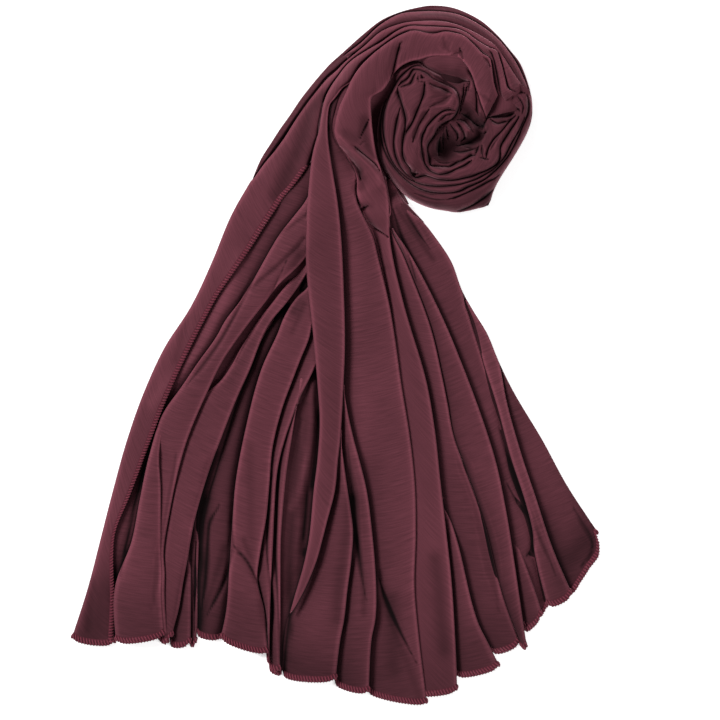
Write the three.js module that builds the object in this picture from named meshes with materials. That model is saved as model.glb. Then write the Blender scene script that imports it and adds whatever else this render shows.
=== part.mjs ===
import * as THREE from 'three';

// Headscarf of thin jersey laid on a flat surface.  One short end is spread as a pleated fan,
// the cloth is gathered at a neck and the rest of its length is wound into a flat rosette.
// Millimetres, +X to the right, +Y from the fan's hem to the rosette, +Z up, underside on Z = 0.

const UNIT = 0.85;                 // millimetres in one unit of the layout tables below
const WALL = 1.6;                  // cloth as a solid wall
const AIR = 0.7;                   // air between two layers of one pleat
const SEAM_GAP = 0.4;              // between neighbouring stretches of the scarf
const GATHER = { x: 335, y: 40 };  // point the pleats of the fan aim at, layout units
const ROSETTE = { x: 455, y: 112 };// centre the wound length turns about, layout units
const FAN_TOP = 236;               // radius where the fan leaves the neck, layout units
const FAN_ROWS = 11;               // rows of the pleated wall from neck to hem
const PANEL_POINTS = 2;            // points across the plain cloth between two pleats
const SPREAD = 0.55;               // spacing of a pleat's points where it has opened out flat
const CROWN = 0.055;               // rise of a panel between its pleats, per width
const FADE = 60;                   // radius over which a pleat opens out, layout units

const LEVEL = {
  low: WALL / 2,
  mid: WALL / 2 + WALL + AIR,
  high: WALL / 2 + 2 * (WALL + AIR),
};

// Radii of the five columns of angles in the pleat tables, layout units.
const RADII = [236, 300, 390, 480, 600];

// Pleats from left to right.  over: the side that lies on top.  from / until: radii between
// which it is folded.  tuck: hidden depth in mm.  at: angle from straight down at the RADII.
// hem: radius of the hem on the pleat's left and on its right.
const LEFT_EDGE = {
  fold: { at: [-29.6, -28.4, -28.7, -26.7, -24.2], hem: 655 },
  free: { at: [-22.6, -25.0, -25.2, -24.5, -21.9], hem: 645 },
};
const LEFT_PLEATS = [
  { name: 'flap_side', over: 'right', from: 0, until: 999, tuck: 7, at: [-17.9, -21.3, -24.1, -23.2, -21.2], hem: [642, 641] },
  { name: 'short_fold', over: 'left', from: 410, until: 999, tuck: 8, at: [-16.4, -20.2, -22.9, -21.0, -16.7], hem: [624, 628] },
  { name: 'long_gap', over: 'left', from: 0, until: 520, tuck: 7, at: [-10.6, -17.2, -20.1, -19.6, -16.1], hem: [628, 627] },
  { name: 'gusset', over: 'left', from: 270, until: 999, tuck: 7, at: [-9.6, -13.5, -15.4, -16.3, -14.0], hem: [620, 611] },
  { name: 'deep_gap', over: 'right', from: 240, until: 999, tuck: 8, at: [-8.4, -11.1, -12.9, -12.2, -10.7], hem: [610, 612] },
  { name: 'middle_fold', over: 'left', from: 280, until: 999, tuck: 8, at: [-7.9, -5.3, -8.4, -8.4, -7.4], hem: [614, 616] },
  { name: 'inner_fold', over: 'left', from: 340, until: 999, tuck: 5, at: [-7.4, -4.7, -6.6, -7.1, -6.2], hem: [618, 628] },
];
const STRIP_LEFT = { name: 'strip_left', over: 'right', from: 0, until: 999, tuck: 9, at: [-6.9, -4.1, -2.3, -2.9, -4.9], hem: [634, 637] };
const RIGHT_PLEATS = [
  { name: 'strip_right', over: 'left', from: 0, until: 999, tuck: 9, at: [2.0, 1.9, 0.9, -0.9, -3.9], hem: [637, 641] },
  { name: 'tail_fold', over: 'left', from: 400, until: 999, tuck: 7, at: [2.8, 2.7, 1.6, 2.0, 0.4], hem: [640, 645] },
  { name: 'vee_fold', over: 'left', from: 340, until: 999, tuck: 8, at: [3.6, 3.5, 2.7, 4.3, 3.5], hem: [654, 655] },
  { name: 'wide_edge', over: 'left', from: 0, until: 999, tuck: 11, at: [11.3, 11.4, 10.8, 9.8, 8.0], hem: [671, 660] },
  { name: 'second_edge', over: 'left', from: 0, until: 999, tuck: 8, at: [14.8, 14.9, 14.6, 13.0, 11.4], hem: [663, 649] },
  { name: 'narrow_gap', over: 'left', from: 470, until: 999, tuck: 6, at: [15.6, 15.7, 15.5, 13.9, 13.7], hem: [649, 636] },
  { name: 'short_ridge', over: 'left', from: 0, until: 400, tuck: 6, at: [17.6, 18.4, 17.2, 16.4, 15.6], hem: [642, 641] },
  { name: 'third_edge', over: 'left', from: 0, until: 999, tuck: 8, at: [19.6, 21.2, 21.4, 20.3, 18.1], hem: [638, 622] },
  { name: 'hem_fold', over: 'left', from: 520, until: 999, tuck: 6, at: [21.0, 22.6, 22.6, 21.4, 19.9], hem: [614, 607] },
  { name: 'pocket_gap', over: 'right', from: 280, until: 520, tuck: 6, at: [23.4, 25.6, 24.1, 22.6, 21.6], hem: [606, 606] },
  { name: 'ridge_edge', over: 'left', from: 350, until: 560, tuck: 6, at: [25.2, 26.3, 25.7, 23.9, 23.2], hem: [604, 603] },
];
const RIGHT_EDGE = { tuck: 10, at: [27.6, 27.1, 27.0, 27.5, 28.3], hem: 560 };

// Sections across the neck, from the fan to the rosette.  outer / inner: the two sides in
// layout units.  rise: height of the gathered cloth in mm.
const NECK_CUTS = [
  { outer: { x: 219.2, y: 245 }, inner: { x: 443, y: 249 }, bow: 28.2, rise: 10 },
  { outer: { x: 232, y: 218 }, inner: { x: 423, y: 221 }, bow: 25, rise: 15 },
  { outer: { x: 246, y: 191 }, inner: { x: 397, y: 197 }, bow: 18, rise: 21 },
  { outer: { x: 260, y: 164 }, inner: { x: 382, y: 173 }, bow: 11, rise: 25 },
  { outer: { x: 275, y: 137 }, inner: { x: 374, y: 151 }, bow: 4, rise: 27 },
  { outer: { x: 292, y: 109 }, inner: { x: 370, y: 129 }, bow: 0, rise: 28 },
  { outer: { x: 312, y: 84 }, inner: { x: 370, y: 106 }, bow: 0, rise: 28 },
  { outer: { x: 326.6, y: 64 }, inner: { x: 378.6, y: 83.8 }, bow: 0, rise: 28 },
];
// Ridges of the neck as shares of its width, first at the fan, then at the rosette.
const NECK_RIDGES = [
  { name: 'flap', fan: 0.13, rosette: 0.14 },
  { name: 'left_group', fan: 0.31, rosette: 0.3 },
  { name: 'strip', fan: 0.5, rosette: 0.48 },
  { name: 'wide', fan: 0.72, rosette: 0.7 },
  { name: 'right_group', fan: 0.88, rosette: 0.88 },
];

// The wound length.  turn: degrees clockwise from the left, inner / outer: radii from the
// rosette's centre in layout units, rise: crest height in mm, foot: height of the inner side.
const OUTER_TURN = [
  { turn: 21, outer: 137, inner: 81, rise: 28, foot: 22 },
  { turn: 36, outer: 124, inner: 74, rise: 29, foot: 22 },
  { turn: 52, outer: 117, inner: 67, rise: 30, foot: 22 },
  { turn: 68, outer: 111.5, inner: 62, rise: 31, foot: 22 },
  { turn: 84, outer: 106, inner: 58, rise: 31, foot: 22 },
  { turn: 100, outer: 98, inner: 55, rise: 31, foot: 20 },
  { turn: 116, outer: 89.5, inner: 49, rise: 31, foot: 18 },
  { turn: 132, outer: 83, inner: 42, rise: 30, foot: 16 },
  { turn: 150, outer: 79.5, inner: 36, rise: 30, foot: 15 },
  { turn: 168, outer: 78, inner: 36, rise: 30, foot: 15 },
  { turn: 184, outer: 77, inner: 38, rise: 30, foot: 16 },
];
const LOWER_TURN = [
  { turn: 184, outer: 77, inner: 34, rise: 30, foot: 18 },
  { turn: 200, outer: 74, inner: 34, rise: 31, foot: 19 },
  { turn: 218, outer: 75, inner: 38, rise: 32, foot: 20 },
  { turn: 234, outer: 82, inner: 42, rise: 32, foot: 21 },
  { turn: 246, outer: 94, inner: 44, rise: 31, foot: 22 },
  { turn: 256, outer: 99.5, inner: 46, rise: 30, foot: 22 },
  { turn: 270, outer: 100, inner: 50, rise: 30, foot: 23 },
  { turn: 286, outer: 100, inner: 56, rise: 30, foot: 24 },
  { turn: 300, outer: 98.5, inner: 58, rise: 31, foot: 24 },
  { turn: 316, outer: 92, inner: 57, rise: 32, foot: 25 },
];
const SECOND_TURN = [
  { turn: 316, outer: 92, inner: 57, rise: 32, foot: 25 },
  { turn: 332, outer: 85, inner: 55, rise: 33, foot: 26 },
  { turn: 348, outer: 78, inner: 53, rise: 34, foot: 27 },
  { turn: 362, outer: 73, inner: 51, rise: 34, foot: 28 },
  { turn: 376, outer: 70.5, inner: 50, rise: 34, foot: 28 },
  { turn: 390, outer: 69, inner: 49, rise: 33, foot: 28 },
  { turn: 404, outer: 64, inner: 45, rise: 32, foot: 28 },
  { turn: 418, outer: 55, inner: 37, rise: 30, foot: 26 },
  { turn: 434, outer: 44, inner: 29, rise: 27, foot: 24 },
];
const TURN_STEPS = [               // terraces of a turn: share of its width and of its height
  { across: 0.0, up: 0.16 },
  { across: 0.02, up: 0.4 },
  { across: 0.09, up: 0.62 },
  { across: 0.15, up: 0.66 },
  { across: 0.17, up: 0.58 },
  { across: 0.24, up: 0.82 },
  { across: 0.31, up: 0.85 },
  { across: 0.33, up: 0.76 },
  { across: 0.4, up: 0.96 },
  { across: 0.48, up: 0.97 },
  { across: 0.5, up: 0.86 },
  { across: 0.6, up: 1.0 },
  { across: 0.8, up: 0.92 },
];
const CORE = { x: 440, y: 125, steps: 24, rim: 27, crest: 31, lip: 20, hollow: 8, floor: 9 };
const CORE_RADII = [               // rim of the innermost petals, layout units by bearing
  { bearing: 0, rim: 35.2 }, { bearing: 45, rim: 38 }, { bearing: 90, rim: 34 },
  { bearing: 125, rim: 26 }, { bearing: 160, rim: 20 }, { bearing: 200, rim: 22 },
  { bearing: 235, rim: 34 }, { bearing: 270, rim: 39.8 }, { bearing: 315, rim: 34 },
];

const PLUM = { color: 0x6e3a46, roughness: 0.88, metalness: 0 };
const rad = THREE.MathUtils.degToRad;
const lerp = THREE.MathUtils.lerp;
const clamp = THREE.MathUtils.clamp;
const smooth = (v, a, b) => THREE.MathUtils.smoothstep(v, a, b);

// Value of a list of numbers given at the stations xs, as a smooth curve through them.
function curve(xs, ys, x) {
  const n = xs.length;
  if (x <= xs[0]) return ys[0] + ((ys[1] - ys[0]) / (xs[1] - xs[0])) * (x - xs[0]);
  if (x >= xs[n - 1]) return ys[n - 1] + ((ys[n - 1] - ys[n - 2]) / (xs[n - 1] - xs[n - 2])) * (x - xs[n - 1]);
  let k = 0;
  while (x > xs[k + 1]) k += 1;
  const slope = (i) => {
    if (i === 0) return (ys[1] - ys[0]) / (xs[1] - xs[0]);
    if (i === n - 1) return (ys[n - 1] - ys[n - 2]) / (xs[n - 1] - xs[n - 2]);
    return (ys[i + 1] - ys[i - 1]) / (xs[i + 1] - xs[i - 1]);
  };
  const w = xs[k + 1] - xs[k];
  const s = (x - xs[k]) / w;
  const h00 = (1 + 2 * s) * (1 - s) ** 2;
  const h10 = s * (1 - s) ** 2;
  const h01 = s * s * (3 - 2 * s);
  const h11 = s * s * (s - 1);
  return h00 * ys[k] + h10 * w * slope(k) + h01 * ys[k + 1] + h11 * w * slope(k + 1);
}

const place = (ux, uy, z) => new THREE.Vector3((ux - 360) * UNIT, (360 - uy) * UNIT, z);
const millimetres = (angle, radius) => rad(angle) * radius * UNIT;

// Closed solid between two grids of points: rows of upper points over rows of lower ones.
function solid(name, upper, lower) {
  const rows = upper.length;
  const cols = upper[0].length;
  const points = [...upper.flat(), ...lower.flat()];
  const up = (i, j) => i * cols + j;
  const lo = (i, j) => rows * cols + i * cols + j;
  const faces = [];
  const quad = (a, b, c, d) => faces.push(a, b, c, a, c, d);
  for (let i = 0; i < rows - 1; i += 1) {
    for (let j = 0; j < cols - 1; j += 1) {
      quad(up(i, j), up(i + 1, j), up(i + 1, j + 1), up(i, j + 1));
      quad(lo(i, j), lo(i, j + 1), lo(i + 1, j + 1), lo(i + 1, j));
    }
    quad(up(i, 0), lo(i, 0), lo(i + 1, 0), up(i + 1, 0));
    quad(up(i + 1, cols - 1), lo(i + 1, cols - 1), lo(i, cols - 1), up(i, cols - 1));
  }
  for (let j = 0; j < cols - 1; j += 1) {
    quad(up(0, j), up(0, j + 1), lo(0, j + 1), lo(0, j));
    quad(up(rows - 1, j + 1), up(rows - 1, j), lo(rows - 1, j), lo(rows - 1, j + 1));
  }
  const geometry = new THREE.BufferGeometry().setFromPoints(points);
  geometry.setIndex(faces);
  const position = geometry.getAttribute('position');
  let volume = 0;
  const [a, b, c] = [new THREE.Vector3(), new THREE.Vector3(), new THREE.Vector3()];
  for (let f = 0; f < faces.length; f += 3) {
    a.fromBufferAttribute(position, faces[f]);
    b.fromBufferAttribute(position, faces[f + 1]);
    c.fromBufferAttribute(position, faces[f + 2]);
    volume += a.dot(b.cross(c)) / 6;
  }
  if (volume < 0) {
    for (let f = 0; f < faces.length; f += 3) [faces[f + 1], faces[f + 2]] = [faces[f + 2], faces[f + 1]];
    geometry.setIndex(faces);
  }
  geometry.computeVertexNormals();
  const mesh = new THREE.Mesh(geometry, new THREE.MeshStandardMaterial(PLUM));
  mesh.name = name;
  return mesh;
}

// How far a pleat is folded at a radius: 0 is flat cloth, 1 is the full fold.
const folded = (pleat, radius) => smooth(radius, pleat.from - 1, pleat.from + FADE)
  * (1 - smooth(radius, pleat.until - 1, pleat.until + FADE));

// Section of a run of pleats at one radius: points [across mm, height mm] and hem radii.
function section(run, radius) {
  const edges = run.pleats.map((p) => millimetres(curve(RADII, p.at, radius), radius));
  const from = run.start(radius);
  const to = run.end(radius);
  const points = [...from.points];
  const panel = (x0, z0, h0, x1, z1, h1) => {
    for (let k = 1; k <= PANEL_POINTS; k += 1) {
      const u = k / (PANEL_POINTS + 1);
      const crown = CROWN * Math.max(0, x1 - x0) * 4 * u * (1 - u);
      points.push({ x: lerp(x0, x1, u), z: lerp(z0, z1, u) + Math.min(crown, 2.5), hem: lerp(h0, h1, u) });
    }
  };
  let [leftX, leftZ, leftHem] = [from.x, from.z, from.hem];
  run.pleats.forEach((pleat, i) => {
    const x = edges[i];
    const before = i ? edges[i - 1] : from.x;
    const after = i < edges.length - 1 ? edges[i + 1] : to.x;
    const room = pleat.over === 'left' ? x - before : after - x;
    const amount = folded(pleat, radius);
    const rise = smooth(amount, 0, 0.45);
    const lean = smooth(amount, 0.35, 1);
    const depth = clamp(0.42 * (room - 3), 0.2, pleat.tuck);
    const round = (WALL + AIR) / 2;
    const [hi, mid, lo] = [lerp(LEVEL.low, LEVEL.high, rise), lerp(LEVEL.low, LEVEL.mid, rise), LEVEL.low];
    const [hemLeft, hemRight] = pleat.hem;
    const upper = pleat.over === 'left' ? hemLeft : hemRight;
    const under = pleat.over === 'left' ? hemRight : hemLeft;
    const shape = [
      [-round, hi, upper], [0, (hi + mid) / 2, upper], [-round, mid, upper - 0.5],
      [-round - depth, mid, lerp(upper, under, 0.6)],
      [-2 * round - depth, (mid + lo) / 2, lerp(upper, under, 0.8)], [-round - depth, lo, under],
    ];
    const sign = pleat.over === 'left' ? 1 : -1;
    if (sign < 0) shape.reverse();
    const step = Math.min(SPREAD, (x - before) / 7, (after - x) / 7);
    const placed = shape.map(([dx, z, hem], k) => ({
      x: x + lerp((k - 2.5) * step, sign * dx, lean), z, hem,
    }));
    const [inZ, outZ] = sign > 0 ? [hi, lo] : [lo, hi];
    panel(leftX, leftZ, leftHem, sign > 0 ? placed[0].x : x, inZ, hemLeft);
    points.push(...placed);
    [leftX, leftZ, leftHem] = [sign > 0 ? x : placed[5].x, outZ, hemRight];
  });
  panel(leftX, leftZ, leftHem, to.x, to.z, to.hem);
  points.push(...to.points);
  return points;
}

// Wall of cloth through the sections of a run, each column reaching its own hem.
function pleatedWall(name, run) {
  const hems = section(run, RADII[4]).map((p) => p.hem);
  const [upper, lower] = [[], []];
  for (let i = 0; i <= FAN_ROWS; i += 1) {
    const v = (i / FAN_ROWS) ** 0.92;
    const [top, bottom] = [[], []];
    hems.forEach((hem, j) => {
      const radius = lerp(FAN_TOP, hem, v);
      const line = section(run, radius);
      const here = line[j];
      const ahead = line[Math.min(j + 1, line.length - 1)];
      const behind = line[Math.max(j - 1, 0)];
      const a = new THREE.Vector2(here.x - behind.x, here.z - behind.z).normalize();
      const b = new THREE.Vector2(ahead.x - here.x, ahead.z - here.z).normalize();
      const along = a.add(b);
      if (along.length() < 1e-6) along.set(1, 0);
      along.normalize();
      const side = (s) => {
        const x = here.x - s * along.y * WALL / 2;
        const z = Math.max(0, here.z + s * along.x * WALL / 2);
        const angle = x / (radius * UNIT);
        return place(GATHER.x + radius * Math.sin(angle), GATHER.y + radius * Math.cos(angle), z);
      };
      top.push(side(1));
      bottom.push(side(-1));
    });
    upper.push(top);
    lower.push(bottom);
  }
  return solid(name, upper, lower);
}

const at = (row, radius) => millimetres(curve(RADII, row.at, radius), radius);
const TURN_ROUND = (WALL + AIR) / 2;

// The left run starts at the free edge of the flap, turns at the silhouette and ends
// under the middle strip.
const leftRun = {
  pleats: LEFT_PLEATS,
  start: (radius) => {
    const [fold, free] = [at(LEFT_EDGE.fold, radius), at(LEFT_EDGE.free, radius)];
    const cap = at(LEFT_PLEATS[0], radius) - 1.5;
    const edge = Math.min(free, cap);
    const points = [1, 0.66, 0.33].map((u) => ({
      x: lerp(fold + TURN_ROUND, edge, u), z: LEVEL.mid + 0.25, hem: lerp(LEFT_EDGE.fold.hem, LEFT_EDGE.free.hem, u),
    }));
    points.push({ x: fold + TURN_ROUND, z: LEVEL.mid, hem: LEFT_EDGE.fold.hem });
    points.push({ x: fold, z: (LEVEL.mid + LEVEL.low) / 2, hem: LEFT_EDGE.fold.hem });
    points.push({ x: fold + TURN_ROUND, z: LEVEL.low, hem: LEFT_EDGE.fold.hem - 1 });
    return { points, x: fold + TURN_ROUND, z: LEVEL.low, hem: LEFT_EDGE.fold.hem - 1 };
  },
  end: (radius) => {
    const edge = at(STRIP_LEFT, radius);
    const room = at(RIGHT_PLEATS[0], radius) - edge;
    const depth = clamp(0.42 * (room - 3), 0.2, STRIP_LEFT.tuck);
    const points = [{ x: edge + depth * 0.4, z: LEVEL.low, hem: STRIP_LEFT.hem[0] }];
    return { points, x: edge - 0.3, z: LEVEL.low, hem: STRIP_LEFT.hem[0] };
  },
};

// The right run starts beneath the middle strip, turns at the strip's left edge and ends
// in a tuck behind the right silhouette.
const rightRun = {
  pleats: RIGHT_PLEATS,
  start: (radius) => {
    const edge = at(STRIP_LEFT, radius);
    const room = at(RIGHT_PLEATS[0], radius) - edge;
    const depth = clamp(0.42 * (room - 3), 0.2, STRIP_LEFT.tuck);
    const hem = STRIP_LEFT.hem[1];
    const points = [
      { x: edge + TURN_ROUND + depth, z: LEVEL.mid, hem: hem - 2 },
      { x: edge + TURN_ROUND, z: LEVEL.mid, hem: hem - 0.5 },
      { x: edge, z: (LEVEL.mid + LEVEL.high) / 2, hem },
      { x: edge + TURN_ROUND, z: LEVEL.high, hem },
    ];
    return { points, x: edge + TURN_ROUND, z: LEVEL.high, hem };
  },
  end: (radius) => {
    const edge = at(RIGHT_EDGE, radius);
    const { hem } = RIGHT_EDGE;
    const depth = Math.min(RIGHT_EDGE.tuck, 0.4 * (edge - at(RIGHT_PLEATS[10], radius)));
    const points = [
      { x: edge - TURN_ROUND, z: LEVEL.mid, hem },
      { x: edge, z: (LEVEL.mid + LEVEL.low) / 2, hem },
      { x: edge - TURN_ROUND, z: LEVEL.low, hem: hem + 1 },
      { x: edge - TURN_ROUND - depth, z: LEVEL.low, hem: hem + 4 },
    ];
    return { points, x: edge - TURN_ROUND, z: LEVEL.mid, hem };
  },
};

// Gathered cloth of the neck: rounded, ridged, flat underneath.
function neck() {
  const cols = 30;
  const [upper, lower] = [[], []];
  const steps = (NECK_CUTS.length - 1) * 2;
  const index = NECK_CUTS.map((_, k) => k);
  const read = (pick, t) => curve(index, NECK_CUTS.map(pick), t);
  for (let i = 0; i <= steps; i += 1) {
    const t = i / 2;
    const u = i / steps;
    const [ox, oy] = [read((c) => c.outer.x, t), read((c) => c.outer.y, t)];
    const [nx, ny] = [read((c) => c.inner.x, t), read((c) => c.inner.y, t)];
    const bow = read((c) => c.bow, t);
    const rise = read((c) => c.rise, t);
    const ridges = NECK_RIDGES.map((r) => lerp(r.fan, r.rosette, u));
    const [top, bottom] = [[], []];
    for (let j = 0; j <= cols; j += 1) {
      const w = j / cols;
      const near = Math.min(...ridges.map((r) => Math.abs(w - r)));
      const shell = Math.max(0.1, Math.sin(Math.PI * clamp(w, 0.02, 0.98))) ** 0.42;
      const z = rise * shell * (0.86 + 0.14 * Math.cos(Math.min(1, near / 0.07) * Math.PI));
      const x = lerp(ox, nx, w);
      const y = lerp(oy, ny, w) + bow * 4 * w * (1 - w);
      top.push(place(x, y, Math.max(2, z)));
      bottom.push(place(x, y, 0));
    }
    upper.push(top);
    lower.push(bottom);
  }
  return solid('neck_gather', upper, lower);
}

// One stretch of the wound length with its layers as terraces, flat underneath.
function turn(name, table, { shortenStart = 0, shortenEnd = 0, cols = TURN_STEPS.length }) {
  const stations = table.map((row) => row.turn);
  const read = (key, angle) => curve(stations, table.map((row) => row[key]), angle);
  const first = stations[0] + shortenStart;
  const last = stations[stations.length - 1] - shortenEnd;
  const rows = Math.ceil((last - first) / 7);
  const [upper, lower] = [[], []];
  for (let i = 0; i <= rows; i += 1) {
    const angle = lerp(first, last, i / rows);
    const [outer, inner] = [read('outer', angle), read('inner', angle)];
    const [rise, foot] = [read('rise', angle), read('foot', angle)];
    const point = (across, z) => {
      const radius = lerp(outer, inner, across);
      return place(ROSETTE.x - radius * Math.cos(rad(angle)), ROSETTE.y - radius * Math.sin(rad(angle)), z);
    };
    const steps = TURN_STEPS.slice(0, cols);
    upper.push([...steps.map((s) => point(s.across, s.up * rise)), point(0.97, foot), point(1, foot * 0.8)]);
    lower.push([...steps.map((s) => point(s.across, 0)), point(0.97, 0), point(1, 0)]);
  }
  return solid(name, upper, lower);
}

// Innermost petals: a ring with a rounded rim round a hollow that keeps a floor.
function core() {
  const bearings = CORE_RADII.map((r) => r.bearing);
  const loop = [...bearings, 360];
  const radii = [...CORE_RADII.map((r) => r.rim), CORE_RADII[0].rim];
  const profile = [
    { share: 1.0, z: 8 }, { share: 0.97, z: 22 }, { share: 0.86, z: CORE.crest }, { share: 0.72, z: CORE.crest - 2 },
    { share: 0.7, z: CORE.crest - 6 }, { share: 0.55, z: CORE.crest - 1 }, { share: 0.42, z: CORE.lip },
    { share: 0.3, z: CORE.floor },
  ];
  const shapes = profile.map((p) => p);
  const points = [];
  const faces = [];
  const ring = (share, z) => {
    const start = points.length;
    for (let i = 0; i < CORE.steps; i += 1) {
      const bearing = (360 * i) / CORE.steps;
      const radius = curve(loop, radii, bearing) * share;
      points.push(place(CORE.x - radius * Math.cos(rad(bearing)), CORE.y - radius * Math.sin(rad(bearing)), z));
    }
    return start;
  };
  const starts = [ring(1.0, 0), ...shapes.map((p) => ring(p.share, p.z))];
  const n = CORE.steps;
  for (let k = 0; k < starts.length - 1; k += 1) {
    for (let i = 0; i < n; i += 1) {
      const [a, b] = [starts[k] + i, starts[k] + ((i + 1) % n)];
      const [c, d] = [starts[k + 1] + i, starts[k + 1] + ((i + 1) % n)];
      faces.push(a, c, b, b, c, d);
    }
  }
  const middle = points.push(place(CORE.x, CORE.y, CORE.floor)) - 1;
  const under = points.push(place(CORE.x, CORE.y, 0)) - 1;
  const last = starts[starts.length - 1];
  for (let i = 0; i < n; i += 1) {
    faces.push(last + i, middle, last + ((i + 1) % n));
    faces.push(starts[0] + ((i + 1) % n), under, starts[0] + i);
  }
  const geometry = new THREE.BufferGeometry().setFromPoints(points);
  geometry.setIndex(faces);
  geometry.computeVertexNormals();
  const mesh = new THREE.Mesh(geometry, new THREE.MeshStandardMaterial(PLUM));
  mesh.name = 'rosette_core';
  return mesh;
}

const gapAngle = SEAM_GAP / (rad(1) * 75 * UNIT);
const group = new THREE.Group();
group.name = 'headscarf';
group.add(
  pleatedWall('fan_left', leftRun),
  pleatedWall('fan_right', rightRun),
  neck(),
  turn('rosette_outer_turn', OUTER_TURN, { shortenEnd: gapAngle }),
  turn('rosette_lower_turn', LOWER_TURN, { shortenEnd: gapAngle }),
  turn('rosette_second_turn', SECOND_TURN, {}),
  core(),
);

// The origin is the middle of the underside.
const box = new THREE.Box3().setFromObject(group);
const middle = box.getCenter(new THREE.Vector3());
group.children.forEach((mesh) => mesh.geometry.translate(-middle.x, -middle.y, -box.min.z));

export default group;
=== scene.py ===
"""Headscarf laid flat: pleated fan, gathered neck and wound rosette, in one dark jersey."""
import math

import bpy
import numpy as np
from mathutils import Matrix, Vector


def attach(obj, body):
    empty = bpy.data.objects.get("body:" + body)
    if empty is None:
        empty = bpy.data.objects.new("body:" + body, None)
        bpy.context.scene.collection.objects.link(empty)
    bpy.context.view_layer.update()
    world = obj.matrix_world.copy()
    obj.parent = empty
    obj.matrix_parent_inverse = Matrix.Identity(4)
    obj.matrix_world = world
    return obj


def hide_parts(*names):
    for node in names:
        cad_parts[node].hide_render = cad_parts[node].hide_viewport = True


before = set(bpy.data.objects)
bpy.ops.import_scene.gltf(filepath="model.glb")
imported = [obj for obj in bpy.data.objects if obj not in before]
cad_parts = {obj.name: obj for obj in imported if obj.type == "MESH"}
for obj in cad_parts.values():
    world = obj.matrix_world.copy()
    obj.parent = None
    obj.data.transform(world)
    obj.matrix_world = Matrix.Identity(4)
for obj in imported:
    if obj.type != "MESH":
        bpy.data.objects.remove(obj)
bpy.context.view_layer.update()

# Frame, camera and cloth
UNIT = 0.85                    # mm in one unit of the layout tables (a pixel of the photo)
PHOTO = 720                    # units along each side of the photo
SHIFT = (-18.436, 3.176)       # mm, centre of the part in the layout's own millimetres
EYE = 2300.0                   # mm, camera above the floor
GATHER = (335.0, 40.0)         # point the fan's pleats aim at
CLOTH = 0.55                   # mm, thickness of the jersey
FLOOR = 0.0002                 # m, lowest underside of the cloth
LOW, HIGH = 0.9, 8.6           # mm above the base: a pleat's lower and upper cloth
ROUND = 1.5                    # mm, radius of a rolled fold edge
FALL = 2.2                     # mm, width in which a free side rounds down
RIM = 0.4                      # mm above the floor where a free side ends
TUCK = 8.0                     # mm, how far a rolled edge turns back under
SLIP = 10.0                    # mm, how far cloth runs on below its neighbour
BOW, TURN = 2.0, 2.2           # units by which a hem bows out in its middle and turns back at its ends
BACK = 9.0                     # units by which a turned-back edge stops before the hem
HEM_ROWS, EDGE_COLUMNS = 7, 8  # rows or columns of cloth that overlocking reaches over
FINE_STEP = 1.4                # units between the closer rows in the neck and rosette
LEAD = 14.0                    # units of radius that one row of a ribbon table stands for


def row_point(x, y, z):
    """Layout units and a height in mm to metres in the part's frame, as the camera sees them."""
    k = (EYE - z) / EYE
    return np.stack([((x - PHOTO / 2) * UNIT * k - SHIFT[0]) / 1000.0,
                     ((PHOTO / 2 - y) * UNIT * k - SHIFT[1]) / 1000.0,
                     z / 1000.0], axis=-1)


def unit(v):
    """Vectors along the last axis at length one."""
    return v / np.maximum(np.linalg.norm(v, axis=-1, keepdims=True), 1e-12)


def smoothstep(x, a, b):
    t = np.clip((np.asarray(x, float) - a) / (b - a), 0.0, 1.0)
    return t * t * (3 - 2 * t)


def curve(xs, ys, x):
    """Smooth curve through points, linear past its ends."""
    xs, ys, x = np.asarray(xs, float), np.asarray(ys, float), np.asarray(x, float)
    d = np.diff(ys) / np.diff(xs)
    m = np.concatenate([[d[0]], (d[1:] + d[:-1]) / 2, [d[-1]]])
    k = np.clip(np.searchsorted(xs, x) - 1, 0, len(xs) - 2)
    w = xs[k + 1] - xs[k]
    s = np.clip((x - xs[k]) / w, 0, 1)
    y = ((1 + 2 * s) * (1 - s) ** 2 * ys[k] + s * (1 - s) ** 2 * w * m[k]
         + s * s * (3 - 2 * s) * ys[k + 1] + s * s * (s - 1) * w * m[k + 1])
    y = np.where(x < xs[0], ys[0] + d[0] * (x - xs[0]), y)
    return np.where(x > xs[-1], ys[-1] + d[-1] * (x - xs[-1]), y)


def surface(table, soft, slack):
    """Smooth height of (x, y) near the places (name, x, y, height) of a table."""
    places = np.array([(x, y) for _, x, y, _ in table], float)
    n = len(places)
    full = np.ones((n + 1, n + 1))
    full[:n, :n] = np.sqrt(((places[:, None] - places[None]) ** 2).sum(-1) + soft ** 2) + slack * np.eye(n)
    full[n, n] = 0
    weights = np.linalg.solve(full, np.append([z for *_, z in table], 0))

    def height(x, y):
        d2 = (x[..., None] - places[:, 0]) ** 2 + (y[..., None] - places[:, 1]) ** 2
        return np.sqrt(d2 + soft ** 2) @ weights[:-1] + weights[-1]
    return height


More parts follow.
